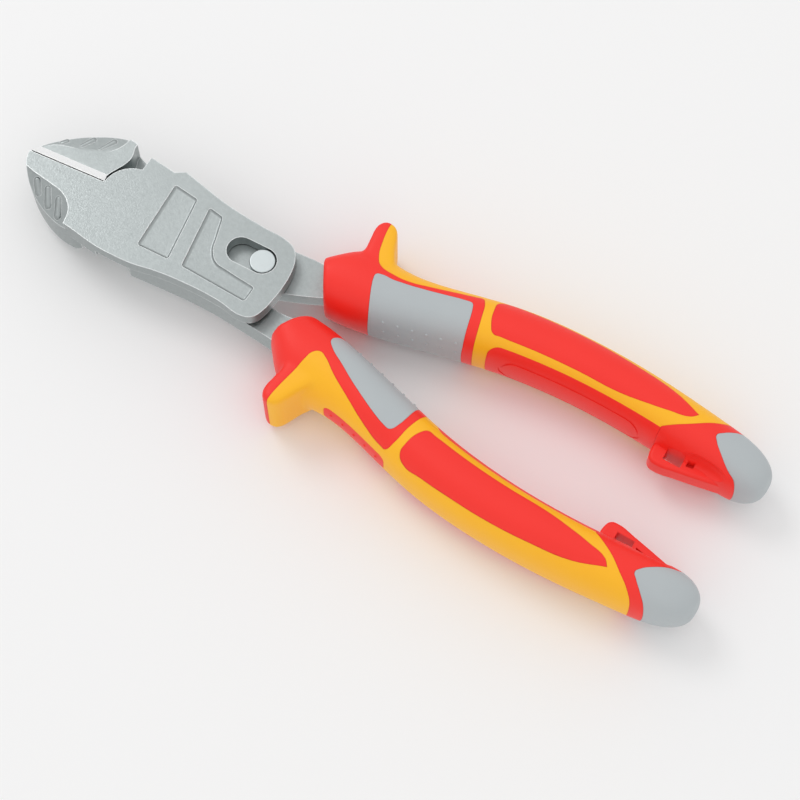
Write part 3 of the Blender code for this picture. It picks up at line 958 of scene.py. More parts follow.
    def behind_jaw(self, upper: bool) -> list:
        """Plan behind one jaw's heel, which the other half of the lap joint fills.

        Args:
            upper: Whether it is the upper jaw's.

        Returns:
            The outline.
        """
        room = self.gap + 0.2
        heel = arc(self.rivet, self.boss_radius + room, 186, 152, 10) + list(self.jaw_heel)
        heel += [(self.jaw_heel[-1][0], self.aside, 1), (self.beyond, self.aside, 1)]
        heel += [(self.beyond, -self.aside, 1), (-14.0, -self.aside, 1), (-14.0, -7.0, 1)]
        return heel if upper else self.mirrored(heel)

    def boss_side(self, upper: bool) -> list:
        """One half's boss, from the cutting line to its end wall.

        Args:
            upper: Whether it is the half above the middle line.

        Returns:
            Its points.
        """
        wall = math.degrees(math.acos(self.wall_x / self.boss_radius))
        sweep = arc(self.rivet, self.boss_radius, 176, wall, 14)
        return sweep if upper else self.mirrored(sweep)

    def slot_plan(self) -> list:
        """The slot that the pin slides along, from its rest at the outer end.

        Returns:
            The outline.
        """
        run = (Vector(self.slot_pin) - Vector(self.rivet)).normalized()
        bearing = math.degrees(math.atan2(run.y, run.x))
        inner = Vector(self.slot_pin) - run * (self.pin_travel + self.gap)
        radius = self.pin_radius + self.gap
        return arc(self.slot_pin, radius, bearing - 90, bearing + 90, 16) + arc(
            tuple(inner), radius, bearing + 90, bearing + 270, 16
        )

    def bar(
        self, start: Sequence[float], end: Sequence[float], radius: float, depths: Sequence[float]
    ) -> bpy.types.Object:
        """A bar with round ends.

        Args:
            start: Plan of one end.
            end: Plan of the other end.
            radius: Its radius in mm.
            depths: How far its axis lies under the head's top at the two ends.

        Returns:
            The bar.
        """
        choose_none()
        bpy.ops.mesh.primitive_uv_sphere_add(segments=24, ring_count=16, radius=radius * MM)
        made = bpy.context.active_object
        made.rotation_euler = (0.0, math.pi / 2, 0.0)
        apply_place(made)
        near = self.datum.at(*start, self.datum.head_high - depths[0])
        far = self.datum.at(*end, self.datum.head_high - depths[1])
        reach = max((far - near).length / 2 - radius * MM, 0.0)
        for vertex in made.data.vertices:
            vertex.co.x += math.copysign(reach, vertex.co.x)
        made.rotation_euler = (far - near).to_track_quat("X", "Z").to_euler()
        made.location = (near + far) / 2
        return apply_place(made)

    def relief(self, plan: Outline, depth: float, tilt: float, hinge: Outline) -> bpy.types.Object:
        """A tilted cutter for the scalloped back of a jaw.

        Args:
            plan: Plan of the scallop, reaching past the jaw's outside.
            depth: Depth at the hinge line in mm.
            tilt: How much the floor falls outwards, in degrees.
            hinge: Two points in plan on the line that it tilts about.

        Returns:
            The cutter.
        """
        high = self.datum.head_high
        tool = self.block("relief", plan, high - depth, high + self.past)
        start, end = (self.datum.at(*p, high) for p in hinge)
        turn = Matrix.Rotation(math.radians(tilt), 4, (end - start).normalized())
        tool.matrix_world = Matrix.Translation(start) @ turn @ Matrix.Translation(-start)
        return apply_place(tool)

    def jaw_plate(self) -> bpy.types.Object:
        """Lower jaw and slotted plate.

        Returns:
            The forging.
        """
        d = self.datum
        under, over = d.head_low - self.past, d.head_high + self.past
        half = self.gap / 2
        plan = [self.cut_point(0.0, -half), self.cut_point(self.edge_end(self.boss_radius), -half)]
        plan += self.boss_side(True) + list(self.plate_back) + list(self.lower_jaw_back)
        piece = self.block("jaw_plate_forging", plan, d.head_low, d.head_high)
        x, y = self.heel_corner
        corner = arc(self.heel_corner, self.heel_radius, -90, 0, 10)
        corner += [(x + 4.3, y, 1), (x + 4.3, y - 5.8, 1), (x, y - 5.8, 1)]
        pocket = [(0.0, self.aside, 1), *arc(self.rivet, self.lap_radius, 90, -90, 24)]
        pocket += [(0.0, -self.aside, 1), (self.beyond, -self.aside, 1), (self.beyond, self.aside, 1)]
        shape(piece, self.block("lap", self.behind_jaw(False), under, d.middle_z + half))
        shape(piece, self.block("heel_corner", corner, under, d.middle_z + half))
        shape(piece, self.block("pocket", pocket, under, self.plate_under))
        soften(piece, self.plate_round, 4, 50)
        shape(piece, self.block("slot", self.slot_plan(), under, over))
        shape(piece, self.relief(self.lower_scallop, *self.lower_fall, self.lower_hinge))
        for start, end in self.ridges:
            shape(piece, self.bar(start, end, self.ridge_radius, self.ridge_depths), Change.JOIN)
        for i, plan in enumerate(self.fields):
            field = self.block(f"field_{i}", plan, d.head_high - self.field_depth, over)
            soften(field, self.plate_round, 4, 40)
            shape(piece, field)
        self.sharpen(piece)
        clean(piece)
        soften(piece, self.plate_break, 2, 32)
        smooth(piece)
        return piece

    def jaw_lever(self) -> bpy.types.Object:
        """Upper jaw, floor, rim and the lower handle's tang.

        Returns:
            The forging.
        """
        d = self.datum
        over = d.head_high + self.past
        half = self.gap / 2
        plan = [self.cut_point(0.0, half), self.cut_point(self.edge_end(self.boss_radius), half)]
        plan += self.boss_side(False) + list(self.lever_lower_edge) + list(self.upper_jaw_back)
        piece = self.block("jaw_lever_forging", plan, d.head_low, d.head_high)
        rim_top = d.head_low + self.rim_thickness
        lap_top = d.middle_z - half
        behind = self.behind_jaw(True)
        lap_end = 7.0
        front = [(min(p[0], lap_end), *p[1:]) for p in behind]
        pocket = [(0.0, self.aside, 1), *arc(self.rivet, self.lap_radius, 90, -54, 20)]
        pocket += [*self.rim_inner, (self.beyond, 6.0, 1), (self.beyond, self.aside, 1)]
        sweep = arc(self.rivet, self.lap_radius + self.gap, 94, -94, 28)
        shape(piece, self.block("over_rim", behind, rim_top, over))
        shape(piece, self.block("over_lap", front, lap_top, over))
        shape(piece, self.block("over_sweep", sweep, lap_top, over))
        shape(piece, self.block("pocket", pocket, self.floor_top, over))
        shape(piece, self.tang(Side.LOWER), Change.JOIN)
        clean(piece)
        soften(piece, self.lever_round, 4, 50)
        shape(piece, self.relief(self.upper_scallop, *self.upper_fall, self.upper_hinge))
        for start, end in self.bars:
            shape(piece, self.bar(start, end, self.bar_radius, self.bar_depths), Change.JOIN)
        self.sharpen(piece)
        soften(piece, self.lever_break, 2, 32)
        smooth(piece)
        return piece

    def sharpen(self, jaw: bpy.types.Object) -> None:
        """Cuts the bevels over and under the cutting edge, and thins the jaw's tip.

        Args:
            jaw: A jaw's forging.
        """
        shape(jaw, self.groove(*self.top_bevel, self.datum.head_high, 1))
        shape(jaw, self.groove(*self.under_bevel, self.datum.head_low, -1))
        shape(jaw, self.tip_wedge())

    def drive_lever(self) -> bpy.types.Object:
        """Middle lever with the upper handle's tang.

        Returns:
            The forging.
        """
        low = self.floor_top + self.gap
        high = self.plate_under - self.gap
        nose = arc(self.fulcrum, self.lever_nose, 105, 285, 24)
        piece = self.block("drive_lever_forging", [*nose, *self.drive_lower, *self.drive_upper], low, high)
        shape(piece, self.tang(Side.UPPER), Change.JOIN)
        clean(piece)
        soften(piece, self.drive_round, 3, 50)
        smooth(piece)
        return piece

    def tang(self, side: Side) -> bpy.types.Object:
        """The tang inside one grip.

        Args:
            side: The handle that it is in.

        Returns:
            The tang, which starts inside its lever.
        """
        middle = self.datum.middle_z
        wide, tall = self.tang_half
        first, last = 56.0, 147.5
        if side is Side.UPPER:
            stations = [(49.4, 7.0, 3.3, 2.5, middle)]
        else:
            stations = [(50.0, -7.0, 3.7, 3.1, self.datum.head_low + 3.9)]
        for x, inner, outer, _ in GripSkin.sections:
            if first < x < last:
                stations.append((x, (inner + outer) / 2 * side.value, wide, tall, middle))
        return swept(self.datum, "tang", stations, 12, self.tang_square, 1)

    def pins(self) -> dict[str, bpy.types.Object]:
        """The rivet, the fulcrum pin and the slot pin, with broken edges.

        Returns:
            The pins by their CAD nodes' names.
        """
        made = {}
        plan = {
            "main_pivot_rivet": (self.rivet, self.rivet_radius, True),
            "fulcrum_pin": (self.fulcrum, self.fulcrum_radius, True),
            "slot_pin": (self.slot_pin, self.pin_radius, False),
        }
        for name, (place, radius, headed) in plan.items():
            low, high = (corner.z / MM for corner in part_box(name))
            top = low + self.head_height if headed else high
            piece = self.disc(f"{name}_turned", place, radius, low, top)
            if headed:
                shank = self.disc("shank", place, radius * self.shank_share, (low + top) / 2, high)
                shape(piece, shank, Change.JOIN)
                clean(piece)
            soften(piece, self.pin_break, 3)
            smooth(piece)
            made[name] = piece
        return made

    def hone(self, piece: bpy.types.Object) -> None:
        """Gives the top bevel of the cutting edge its bright finish.

        Args:
            piece: A jaw's forging.
        """
        piece.data.materials.append(EDGE_STEEL.material())
        start = self.datum.at(-self.jaw_reach, self.cut_tip_y, 0.0)
        side = Vector((-math.sin(self.cut_angle), math.cos(self.cut_angle), 0.0))
        high = self.datum.head_high * MM
        end_x = start.x + self.edge_end(self.boss_radius - self.gap) * MM
        for face in piece.data.polygons:
            near = abs((face.center - start).dot(side)) < self.edge_width * MM
            deep = high - 1.0 * MM < face.center.z < high - 0.1 * MM
            if near and face.center.x < end_x and deep and 0.25 < face.normal.z < 0.95:
                face.material_index = 1

    def build(self) -> None:
        """Builds and dresses the head."""
        plate = self.jaw_plate()
        lever = self.jaw_lever()
        hand_over(plate, BLASTED_STEEL, "jaw_plate_body", "jaw_plate")
        hand_over(lever, BLASTED_STEEL, "jaw_lever_body", "jaw_lever")
        self.hone(plate)
        self.hone(lever)
        hand_over(self.drive_lever(), BLASTED_STEEL, "drive_lever_body", "drive_lever")
        for name, piece in self.pins().items():
            body = "drive_lever_body" if name == "slot_pin" else "jaw_lever_body"
            hand_over(piece, GROUND_STEEL, body, name)


# ---------------------------------------------------------------- grips


@dataclass
class GripSkin:
    """The outer form of a grip and the zones that its shots fill.

    Outlines are plans of the upper grip, which flip turns over for the lower one. A section is x,
    inner y, outer y and half height.
    """

    datum: Datum
    side: Side
    # Thickness of the shots, and the seam between two of them.
    shot: float = 1.5
    seam: float = 0.05
    # The front rim's tilt in plan and its outer end.
    rim_tilt: float = math.radians(30.5)
    rim_outer: tuple[float, float] = (46.4, 11.4)
    # The skin's remesh, its smoothing steps, and the guard before it is blended in.
    voxel: float = 0.42
    ease_steps: int = 24
    guard_half_height: float = 7.8
    guard_round: float = 3.0
    # The strip and the inner panel, from x to x, and half their height.
    strip_ends: tuple[float, float] = (65.4, 83.4)
    strip_half: float = 3.0
    panel_ends: tuple[float, float] = (89.9, 131.6)
    panel_half: float = 6.8
    # Grip dots: rows by first x, spacing, number and height over the middle plane.
    pad_dots: Sequence[tuple] = ((66.6, 3.3, 6, 1.4), (66.2, 3.3, 6, 4.6))
    strip_dots: Sequence[tuple] = ((67.4, 3.4, 5, 0.6),)
    dot_radius: float = 0.4
    dot_sink: float = 0.14
    # The oval's ends, half height, line width and depth.
    oval_ends: tuple[float, float] = (93.0, 128.0)
    oval_half: float = 4.2
    oval_line: float = 0.6
    oval_depth: float = 0.18
    # The tether hook: its fin, a scoop above and below it, its slot and its notch.
    fin_heights: tuple[float, float] = (5.7, 11.1)
    scoop_half: tuple[float, float, float] = (8.6, 3.4, 4.0)
    scoop_place: tuple[float, float] = (141.0, 9.6)
    scoop_rise: float = 5.0
    scoop_turn: float = math.radians(9.0)
    slot_low: float = 2.0
    notch_low: float = 9.6
    hook_top: float = 15.0
    slot: Outline = ((135.0, 10.0, 1), (135.0, 12.4, 1), (139.3, 12.4, 1), (139.3, 10.0, 1))
    notch: Outline = ((140.2, 11.0, 1), (140.2, 12.2, 1), (141.9, 12.5, 1), (141.9, 11.3, 1))
    sections: ClassVar[Outline] = (
        (43.0, 1.4, 7.5, 8.5), (47.0, 1.4, 12.2, 8.7), (50.0, 1.4, 15.8, 9.0), (53.0, 1.5, 18.8, 9.2),
        (57.0, 1.8, 19.6, 9.25), (61.0, 2.5, 19.4, 9.25), (65.5, 3.6, 19.0, 9.25), (72.0, 5.2, 19.9, 9.2),
        (81.0, 7.5, 22.4, 9.15), (91.0, 10.1, 24.9, 9.15), (101.0, 11.7, 26.1, 9.25),
        (111.0, 12.6, 26.5, 9.25), (121.0, 12.8, 26.4, 9.25), (131.0, 12.4, 25.7, 9.1),
        (141.0, 11.5, 24.6, 8.9), (148.0, 10.8, 23.9, 8.6), (152.5, 10.6, 22.9, 7.9),
        (155.8, 11.8, 21.2, 6.5), (157.6, 13.6, 19.4, 4.4), (158.1, 15.1, 17.9, 1.6),
    )
    guard_plan: Outline = (
        (53.9, 12.0, 1), (53.6, 17.5), (53.0, 21.2), (52.8, 23.6), (53.8, 25.5), (55.8, 26.0),
        (57.4, 25.1), (58.6, 22.9), (59.8, 20.2), (61.4, 17.2), (61.0, 11.0, 1),
    )
    collar_zone: Outline = (
        (30.0, -8.0, 1), (86.9, -8.0, 1), (86.9, 9.0, 1), (85.3, 15.5), (83.9, 19.4), (83.0, 20.3),
        (81.4, 19.8), (71.2, 16.1), (67.2, 14.8), (63.0, 14.4), (59.2, 15.0), (57.5, 17.0),
        (56.3, 20.5), (55.6, 24.5), (55.4, 34.0, 1), (30.0, 34.0, 1),
    )
    lower_collar_zone: Outline = (
        (30.0, -8.0, 1), (86.9, -8.0, 1), (86.9, 9.0, 1), (85.3, 15.5), (84.2, 20.0), (83.2, 21.4),
        (81.6, 21.2), (76.2, 19.2), (69.7, 16.0), (64.5, 13.2), (61.1, 10.9), (59.3, 10.3), (57.9, 11.3),
        (57.2, 13.4), (56.3, 17.8), (55.5, 22.4), (55.2, 25.3), (55.2, 34.0, 1), (30.0, 34.0, 1),
    )
    label_zone: Outline = (
        (59.7, 12.4), (60.6, 12.9), (64.0, 13.2), (80.6, 17.6), (81.7, 17.6), (82.3, 16.8), (84.4, 9.0, 1),
        (84.4, -8.0, 1), (65.4, -8.0, 1), (62.9, 3.5, 1), (59.6, 11.6),
    )
    lower_label_zone: Outline = (
        (59.6, 6.2), (61.0, 8.0), (64.9, 10.3), (70.1, 13.2), (80.6, 17.7), (81.9, 17.8), (82.9, 16.7),
        (84.4, 9.0, 1), (84.4, -8.0, 1), (64.9, -8.0, 1), (62.6, 2.5), (60.2, 4.6),
    )
    panel_zone: Outline = (
        (89.3, 13.7), (91.2, 13.9), (99.5, 15.0), (109.8, 15.8), (120.2, 16.1), (127.1, 17.0),
        (131.5, 17.8), (136.2, 19.0), (137.5, 20.4, 1), (130.5, 22.8), (120.5, 24.0), (110.5, 24.4),
        (100.5, 24.0), (93.0, 23.3), (88.4, 22.6), (86.6, 21.2), (86.7, 18.8), (88.2, 14.8),
    )
    tail_zone: Outline = (
        (131.6, -4.0, 1), (131.6, 14.4, 1), (133.9, 15.7), (137.1, 17.6), (140.5, 20.1), (143.3, 22.0),
        (145.6, 24.1), (148.4, 34.0, 1), (172.0, 34.0, 1), (172.0, -4.0, 1),
    )
    cap_zone: Outline = (
        (143.0, 18.3), (143.9, 19.4), (146.1, 21.3), (148.1, 22.9), (149.8, 25.0), (151.0, 34.0, 1),
        (172.0, 34.0, 1), (172.0, -4.0, 1), (153.2, -4.0, 1), (152.9, 9.6), (151.2, 11.9), (148.8, 13.0),
        (145.9, 15.0), (143.6, 17.1),
    )
    hook_plan: Outline = (
        (131.9, 14.6, 1), (131.8, 10.0), (132.6, 8.5), (134.2, 8.1), (139.0, 8.9), (150.6, 11.3, 1),
        (149.0, 14.6, 1),
    )

    @property
    def word(self) -> str:
        """The side's word in node names."""
        return self.side.name.lower()

    @property
    def body(self) -> str:
        """The CAD body that this grip rides on."""
        return "drive_lever_body" if self.side is Side.UPPER else "jaw_lever_body"

    def stations(self, shrink: float) -> list:
        """Stations of the skin or of the bed under it.

        Args:
            shrink: How far in mm the form lies under the skin.

        Returns:
            The stations for swept.
        """
        side, height = self.side.value, self.datum.middle_z
        bed_end = 156.0
        result = []
        for x, inner, outer, half_height in self.sections:
            if not shrink or x <= bed_end:
                half_width = (outer - inner) / 2
                middle = (inner + outer) / 2 * side
                result.append((x, middle, half_width - shrink, half_height - shrink, height))
        if shrink:
            result.append((self.sections[-1][0] - shrink, 16.5 * side, 2.8, 3.2, height))
        return result

    def form(self, name: str, shrink: float) -> bpy.types.Object:
        """The grip's rounded form, cut at its tilted front rim.

        Args:
            name: The object's name.
            shrink: How far in mm it lies under the skin.

        Returns:
            The closed form.
        """
        tube = swept(self.datum, name, self.stations(shrink), 24, 0.86, 2)
        normal = Vector((math.cos(self.rim_tilt), math.sin(self.rim_tilt)))
        base = Vector(self.rim_outer) + normal * shrink
        place = self.datum.at(base.x, base.y * self.side.value, self.datum.middle_z)
        slice_off(tube, place, Vector((-normal.x, -normal.y * self.side.value, 0.0)))
        return tube

    def skin(self) -> bpy.types.Object:
        """The outer form with its thumb guard, blended into one soft surface.

        Returns:
            The closed skin.
        """
        tube = self.form(f"{self.word}_skin", 0.0)
        middle = self.datum.middle_z
        low, high = middle - self.guard_half_height, middle + self.guard_half_height
        guard = outline_block(self.datum, "guard", flip(self.guard_plan, self.side), low, high)
        soften(guard, self.guard_round, 5, 50)
        shape(tube, guard, Change.JOIN)
        remesh = tube.modifiers.new("blend", "REMESH")
        remesh.mode = "VOXEL"
        remesh.voxel_size = self.voxel * MM
        ease = tube.modifiers.new("ease", "SMOOTH")
        ease.factor = 0.5
        ease.iterations = self.ease_steps
        return apply_modifiers(tube)

    def zone(
        self,
        name: str,
        plan: Outline,
        grow: float,
        low: float = BELOW_ALL,
        high: float = ABOVE_ALL,
    ) -> bpy.types.Object:
        """A block over a zone's plan on this side.

        Args:
            name: The object's name.
            plan: The zone's outline.
            grow: How far in mm the block is larger than the zone.
            low: Height of its underside.
            high: Height of its top.

        Returns:
            The block.
        """
        return outline_block(self.datum, name, flip(grown(plan, grow), self.side), low, high)

    def side_block(self, name: str, profile: Outline, inwards: bool) -> bpy.types.Object:
        """A block across the grip with an (x, z) profile, from its middle past one side.

        Args:
            name: The object's name.
            profile: (x, z) points, z from the middle plane.
            inwards: Whether it reaches past the inner side.

        Returns:
            The block.
        """
        near, far = (-2.0, 17.5) if inwards else (16.0, 34.0)
        ends = sorted((near * self.side.value, far * self.side.value))
        origin = self.datum.at(0.0, ends[1], self.datum.middle_z)
        return profile_block(
            name, profile, ends[1] - ends[0], origin, Vector((1, 0, 0)), Vector((0, 0, 1))
        )

    @staticmethod
    def rounded(x_low: float, x_high: float, half: float, radius: float) -> list:
        """A rounded rectangle about the middle plane.

        Args:
            x_low: Its front end in mm.
            x_high: Its rear end.
            half: Half its height.
            radius: Its corners' radius.

        Returns:
            Its (x, z) points.
        """
        corners = (
            ((x_high - radius, half - radius), 0), ((x_low + radius, half - radius), 90),
            ((x_low + radius, radius - half), 180), ((x_high - radius, radius - half), 270),
        )
        points = []
        for centre, start in corners:
            points += arc(centre, radius, start, start + 90, 6)
        return points

    def build(self) -> None:
        """Builds, dresses and hands over this grip's nine pieces."""
        skin = self.skin()
        bed = self.form("bed", self.shot)
        front, back = self.panel_ends
        strip = self.rounded(*self.strip_ends, self.strip_half, 1.6)
        panel = [(min(p[0], back), *p[1:]) for p in self.rounded(front, back + 8.4, self.panel_half, 2.4)]
        self.build_core(skin, bed, panel, strip)
        self.build_wraps(skin, bed)
        self.build_sides(skin, bed, panel, strip)
        for helper in (skin, bed):
            bpy.data.objects.remove(helper, do_unlink=True)

    def build_core(
        self, skin: bpy.types.Object, bed: bpy.types.Object, panel: Outline, strip: Outline
    ) -> None:
        """Makes the core sleeve with a pocket for each shot.

        Args:
            skin: The grip's outer form.
            bed: The form that the shots lie on.
            panel: Profile of the inner panel.
            strip: Profile of the outer strip.
        """
        grow = self.seam / 2
        collar = self.collar_zone if self.side is Side.UPPER else self.lower_collar_zone
        core = copy_of(skin, f"{self.word}_core")
        for plan in (collar, self.panel_zone, self.tail_zone):
            shape(core, self.zone("pocket", plan, grow))
        shape(core, self.side_block("pocket", grown(panel, grow), True))
        shape(core, self.side_block("pocket", grown(strip, grow), False))
        shape(core, bed, Change.JOIN, keep=True)
        smooth(core, 50)
        hand_over(core, YELLOW_CORE, self.body, f"{self.word}_core_sleeve")

    def build_wraps(self, skin: bpy.types.Object, bed: bpy.types.Object) -> None:
        """Makes the shots whose edges are seen in plan.

        Args:
            skin: The grip's outer form.
            bed: The form that the shots lie on.
        """
        upper = self.side is Side.UPPER
        collar = self.collar_zone if upper else self.lower_collar_zone
        label = self.label_zone if upper else self.lower_label_zone
        middle = self.datum.middle_z
        plans = {
            "front_collar": (collar, BELOW_ALL, ABOVE_ALL, RED_SHOT, label),
            "label_pad": (label, BELOW_ALL, ABOVE_ALL, GREY_SHOT, None),
            "top_panel": (self.panel_zone, middle, ABOVE_ALL, RED_SHOT, None),
            "under_panel": (self.panel_zone, BELOW_ALL, middle, RED_SHOT, None),
            "tail_shell": (self.tail_zone, BELOW_ALL, ABOVE_ALL, RED_SHOT, self.cap_zone),
            "end_cap": (self.cap_zone, BELOW_ALL, ABOVE_ALL, GREY_SHOT, None),
        }
        for part, (plan, low, high, finish, hole) in plans.items():
            piece = copy_of(skin, f"{self.word}_{part}_shot")
            shape(piece, self.zone("zone", plan, -self.seam / 2, low, high), Change.KEEP_SHARED)
            if hole:
                shape(piece, self.zone("hole", hole, self.seam / 2, low - 1, high + 1))
            shape(piece, bed, keep=True)
            if part == "tail_shell":
                self.add_hook(piece)
            if part == "label_pad":
                self.add_dots(piece, skin, self.pad_dots, True)
            smooth(piece, 50)
            hand_over(piece, finish, self.body, f"{self.word}_{part}")

    def build_sides(
        self, skin: bpy.types.Object, bed: bpy.types.Object, panel: Outline, strip: Outline
    ) -> None:
        """Makes the inner panel and the outer strip, whose edges are seen from the side.

        Args:
            skin: The grip's outer form.
            bed: The form that the shots lie on.
            panel: Profile of the inner panel.
            strip: Profile of the outer strip.
        """
        for part, profile, inwards in (("inner_panel", panel, True), ("outer_strip", strip, False)):
            piece = copy_of(skin, f"{self.word}_{part}_shot")
            block = self.side_block("zone", grown(profile, -self.seam / 2), inwards)
            shape(piece, block, Change.KEEP_SHARED)
            if inwards:
                self.add_oval(piece)
            else:
                self.add_dots(piece, skin, self.strip_dots, False)
            shape(piece, bed, keep=True)
            smooth(piece, 50)
            hand_over(piece, RED_SHOT, self.body, f"{self.word}_{part}")

    def add_hook(self, tail: bpy.types.Object) -> None:
        """Joins the tether hook with its slot to the tail.

        Args:
            tail: The tail shell.
        """
        side = self.side.value
        x, y = self.scoop_place
        fin = outline_block(self.datum, "fin", flip(self.hook_plan, self.side), *self.fin_heights)
        soften(fin, 0.9, 4, 50)
        for up in (-1, 1):
            choose_none()
            bpy.ops.mesh.primitive_uv_sphere_add(segments=48, ring_count=32, radius=MM)
            scoop = bpy.context.active_object
            scoop.scale = self.scoop_half
            scoop.rotation_euler = (0.0, 0.0, self.scoop_turn * side)
            scoop.location = self.datum.at(x, y * side, self.datum.middle_z + self.scoop_rise * up)
            shape(tail, apply_place(scoop))
        shape(tail, fin, Change.JOIN)
        for name, plan, low in (("slot", self.slot, self.slot_low), ("notch", self.notch, self.notch_low)):
            shape(tail, outline_block(self.datum, name, flip(plan, self.side), low, self.hook_top))

    def add_dots(
        self, piece: bpy.types.Object, skin: bpy.types.Object, rows: Sequence[tuple], inwards: bool
    ) -> None:
        """Raises rows of small grip dots.

        Args:
            piece: The piece that they stand on.
            skin: The grip's outer form.
            rows: First x, spacing, number and height over the middle plane of each row.
            inwards: Whether they stand on the side towards the other grip.
        """
        way = Vector((0.0, -self.side.value if inwards else self.side.value, 0.0))
        for first, spacing, count, height in rows:
            for i in range(count):
                x = first + spacing * i
                start = self.datum.at(x, 14.0 * self.side.value, self.datum.middle_z + height)
                hit, place, _, _ = skin.ray_cast(start, way)
                if hit:
                    self.add_dot(piece, place - way * self.dot_sink * MM)

    def add_dot(self, piece: bpy.types.Object, place: Vector) -> None:
        """Joins one grip dot to the piece.

        Args:
            piece: The piece that it stands on.
            place: The dot's centre in metres.
        """
        choose_none()
        bpy.ops.mesh.primitive_uv_sphere_add(segments=14, ring_count=8, radius=self.dot_radius * MM)
        dot = bpy.context.active_object
        dot.location = place
        shape(piece, apply_place(dot), Change.JOIN)

    def add_oval(self, panel: bpy.types.Object) -> None:
        """Presses a long oval outline into the inner panel.

        Args:
            panel: The panel.
        """
        front, back = self.oval_ends
        half, line = self.oval_half, self.oval_line
        outside = self.rounded(front, back, half, half - 0.1)
        inside = self.rounded(front + line, back - line, half - line, half - line - 0.1)
        ring = self.side_block("oval", outside, True)
        shape(ring, self.side_block("inside", inside, True))
        deep = copy_of(panel, "deep")
        press = deep.modifiers.new("press", "DISPLACE")
        press.strength = -self.oval_depth * MM
        press.mid_level = 0.0
        apply_modifiers(deep)
        shape(ring, deep)
        shape(panel, ring)


# ---------------------------------------------------------------- stage


@dataclass(frozen=True)
class Lamp:
    """A round soft lamp that points at the tool: place and size in metres, power in watts."""

    name: str
    place: tuple[float, float, float]
    size: float
    power: float


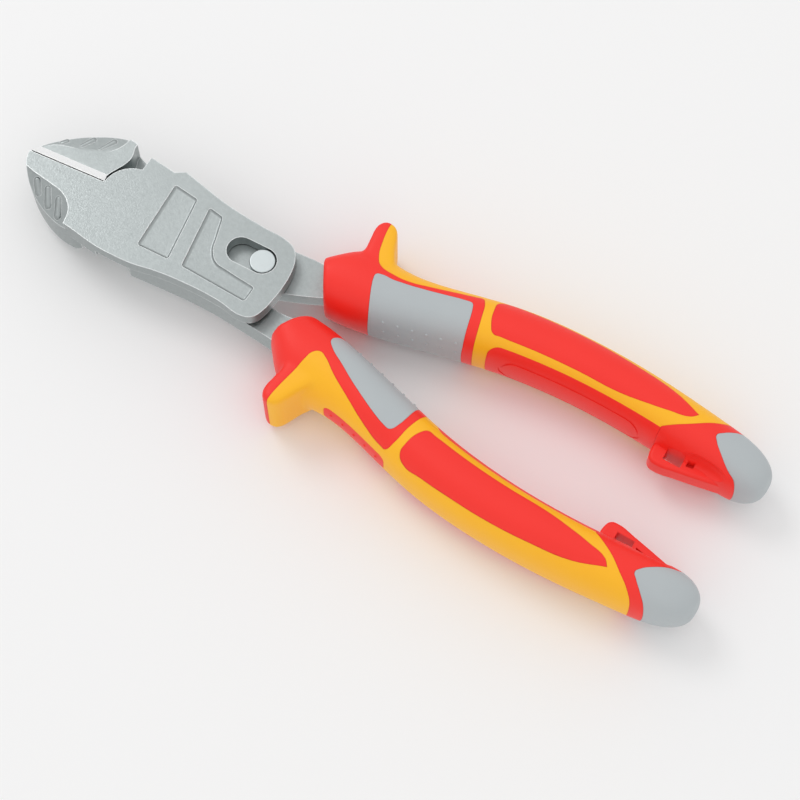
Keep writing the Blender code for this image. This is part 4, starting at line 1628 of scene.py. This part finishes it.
@dataclass
class Studio:
    """Pale floor, soft light and the camera. Angles are in degrees and lengths in metres."""

    azimuth: float = 31.7
    elevation: float = 67.07
    distance: float = 0.456
    lens: float = 90.0
    target: tuple[float, float, float] = (0.0107, -0.0044, 0.0)
    surround: float = 0.86
    floor_colour: str = "#f5f5f5"
    floor_in_gloss: str = "#e6e6e6"
    background: float = 0.9
    # Brightness of the surround in gloss, at the horizon and overhead.
    sky: tuple[float, float] = (0.66, 0.96)
    lamps: tuple[Lamp, ...] = (
        Lamp("key", (-1.0, 0.3, 1.3), 0.7, 4.2),
        Lamp("fill", (0.9, -1.0, 1.0), 0.9, 0.8),
    )

    def floor(self) -> None:
        """A wide pale floor under the grips, which shows evenly bright in the steel's gloss."""
        choose_none()
        bpy.ops.mesh.primitive_plane_add(size=6.0)
        plane = bpy.context.active_object
        plane.name = "floor"
        made = bpy.data.materials.new("pale_floor")
        made.use_nodes = True
        shader = made.node_tree.nodes["Principled BSDF"]
        shader.inputs["Base Color"].default_value = linear(self.floor_colour)
        shader.inputs["Roughness"].default_value = 0.9
        shader.inputs["Specular IOR Level"].default_value = 0.1
        tree = made.node_tree
        glossy = node(tree, "ShaderNodeLightPath", {}, {}).outputs["Is Glossy Ray"]
        lit = node(tree, "ShaderNodeEmission", {}, {"Color": linear(self.floor_in_gloss)}).outputs[0]
        both = node(tree, "ShaderNodeMixShader", {}, {0: glossy, 1: shader.outputs[0], 2: lit})
        tree.links.new(both.outputs[0], tree.nodes["Material Output"].inputs["Surface"])
        made.cycles.emission_sampling = "NONE"
        plane.data.materials.append(made)

    def light(self) -> None:
        """An even pale surround, brighter to the eye and in gloss, and two large soft lamps."""
        world = bpy.data.worlds.new("pale_surround")
        world.use_nodes = True
        tree = world.node_tree
        rays = node(tree, "ShaderNodeLightPath", {}, {}).outputs
        seen = rays["Is Camera Ray"]
        for other in ("Is Glossy Ray", "Is Transmission Ray"):
            add = {"operation": "MAXIMUM"}
            seen = node(tree, "ShaderNodeMath", add, {0: seen, 1: rays[other]}).outputs[0]
        ray = node(tree, "ShaderNodeTexCoord", {}, {}).outputs["Generated"]
        height = node(tree, "ShaderNodeSeparateXYZ", {}, {"Vector": ray}).outputs["Z"]
        low, high = self.sky
        sky = node(tree, "ShaderNodeMapRange", {}, {"Value": height, "To Min": low, "To Max": high})
        in_gloss = rays["Is Glossy Ray"]
        shown = node(tree, "ShaderNodeMix", {}, {0: in_gloss, 2: self.background, 3: sky.outputs[0]})
        level = node(tree, "ShaderNodeMix", {}, {0: seen, 2: self.surround, 3: shown.outputs[0]})
        background = tree.nodes["Background"]
        background.inputs["Color"].default_value = (1.0, 1.0, 1.0, 1.0)
        tree.links.new(level.outputs[0], background.inputs["Strength"])
        bpy.context.scene.world = world
        for lamp in self.lamps:
            light = bpy.data.lights.new(lamp.name, "AREA")
            light.shape = "DISK"
            light.size = lamp.size
            light.energy = lamp.power
            holder = bpy.data.objects.new(lamp.name, light)
            holder.location = lamp.place
            holder.rotation_euler = Vector(lamp.place).to_track_quat("Z", "Y").to_euler()
            bpy.context.scene.collection.objects.link(holder)

    def camera(self) -> None:
        """The camera at the tool's display angle."""
        around, above = math.radians(self.azimuth), math.radians(self.elevation)
        back = Vector(
            (math.sin(around) * math.cos(above), -math.cos(around) * math.cos(above), math.sin(above))
        )
        made = bpy.data.cameras.new("camera")
        made.lens = self.lens
        made.sensor_width = 36.0
        made.clip_start = 0.01
        holder = bpy.data.objects.new("camera", made)
        holder.location = Vector(self.target) + back * self.distance
        holder.rotation_euler = back.to_track_quat("Z", "Y").to_euler()
        bpy.context.scene.collection.objects.link(holder)
        bpy.context.scene.camera = holder
        bpy.context.scene.view_settings.view_transform = "Standard"

    def build(self) -> None:
        """Builds the floor, the light and the camera."""
        self.camera()
        self.floor()
        self.light()


def main() -> None:
    """Builds every sub-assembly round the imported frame."""
    logging.basicConfig(level=logging.INFO, format="%(name)s %(message)s")
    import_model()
    datum = Datum.from_frame()
    Studio().build()
    Head(datum).build()
    for side in Side:
        GripSkin(datum, side).build()


if __name__ == "__main__":
    main()
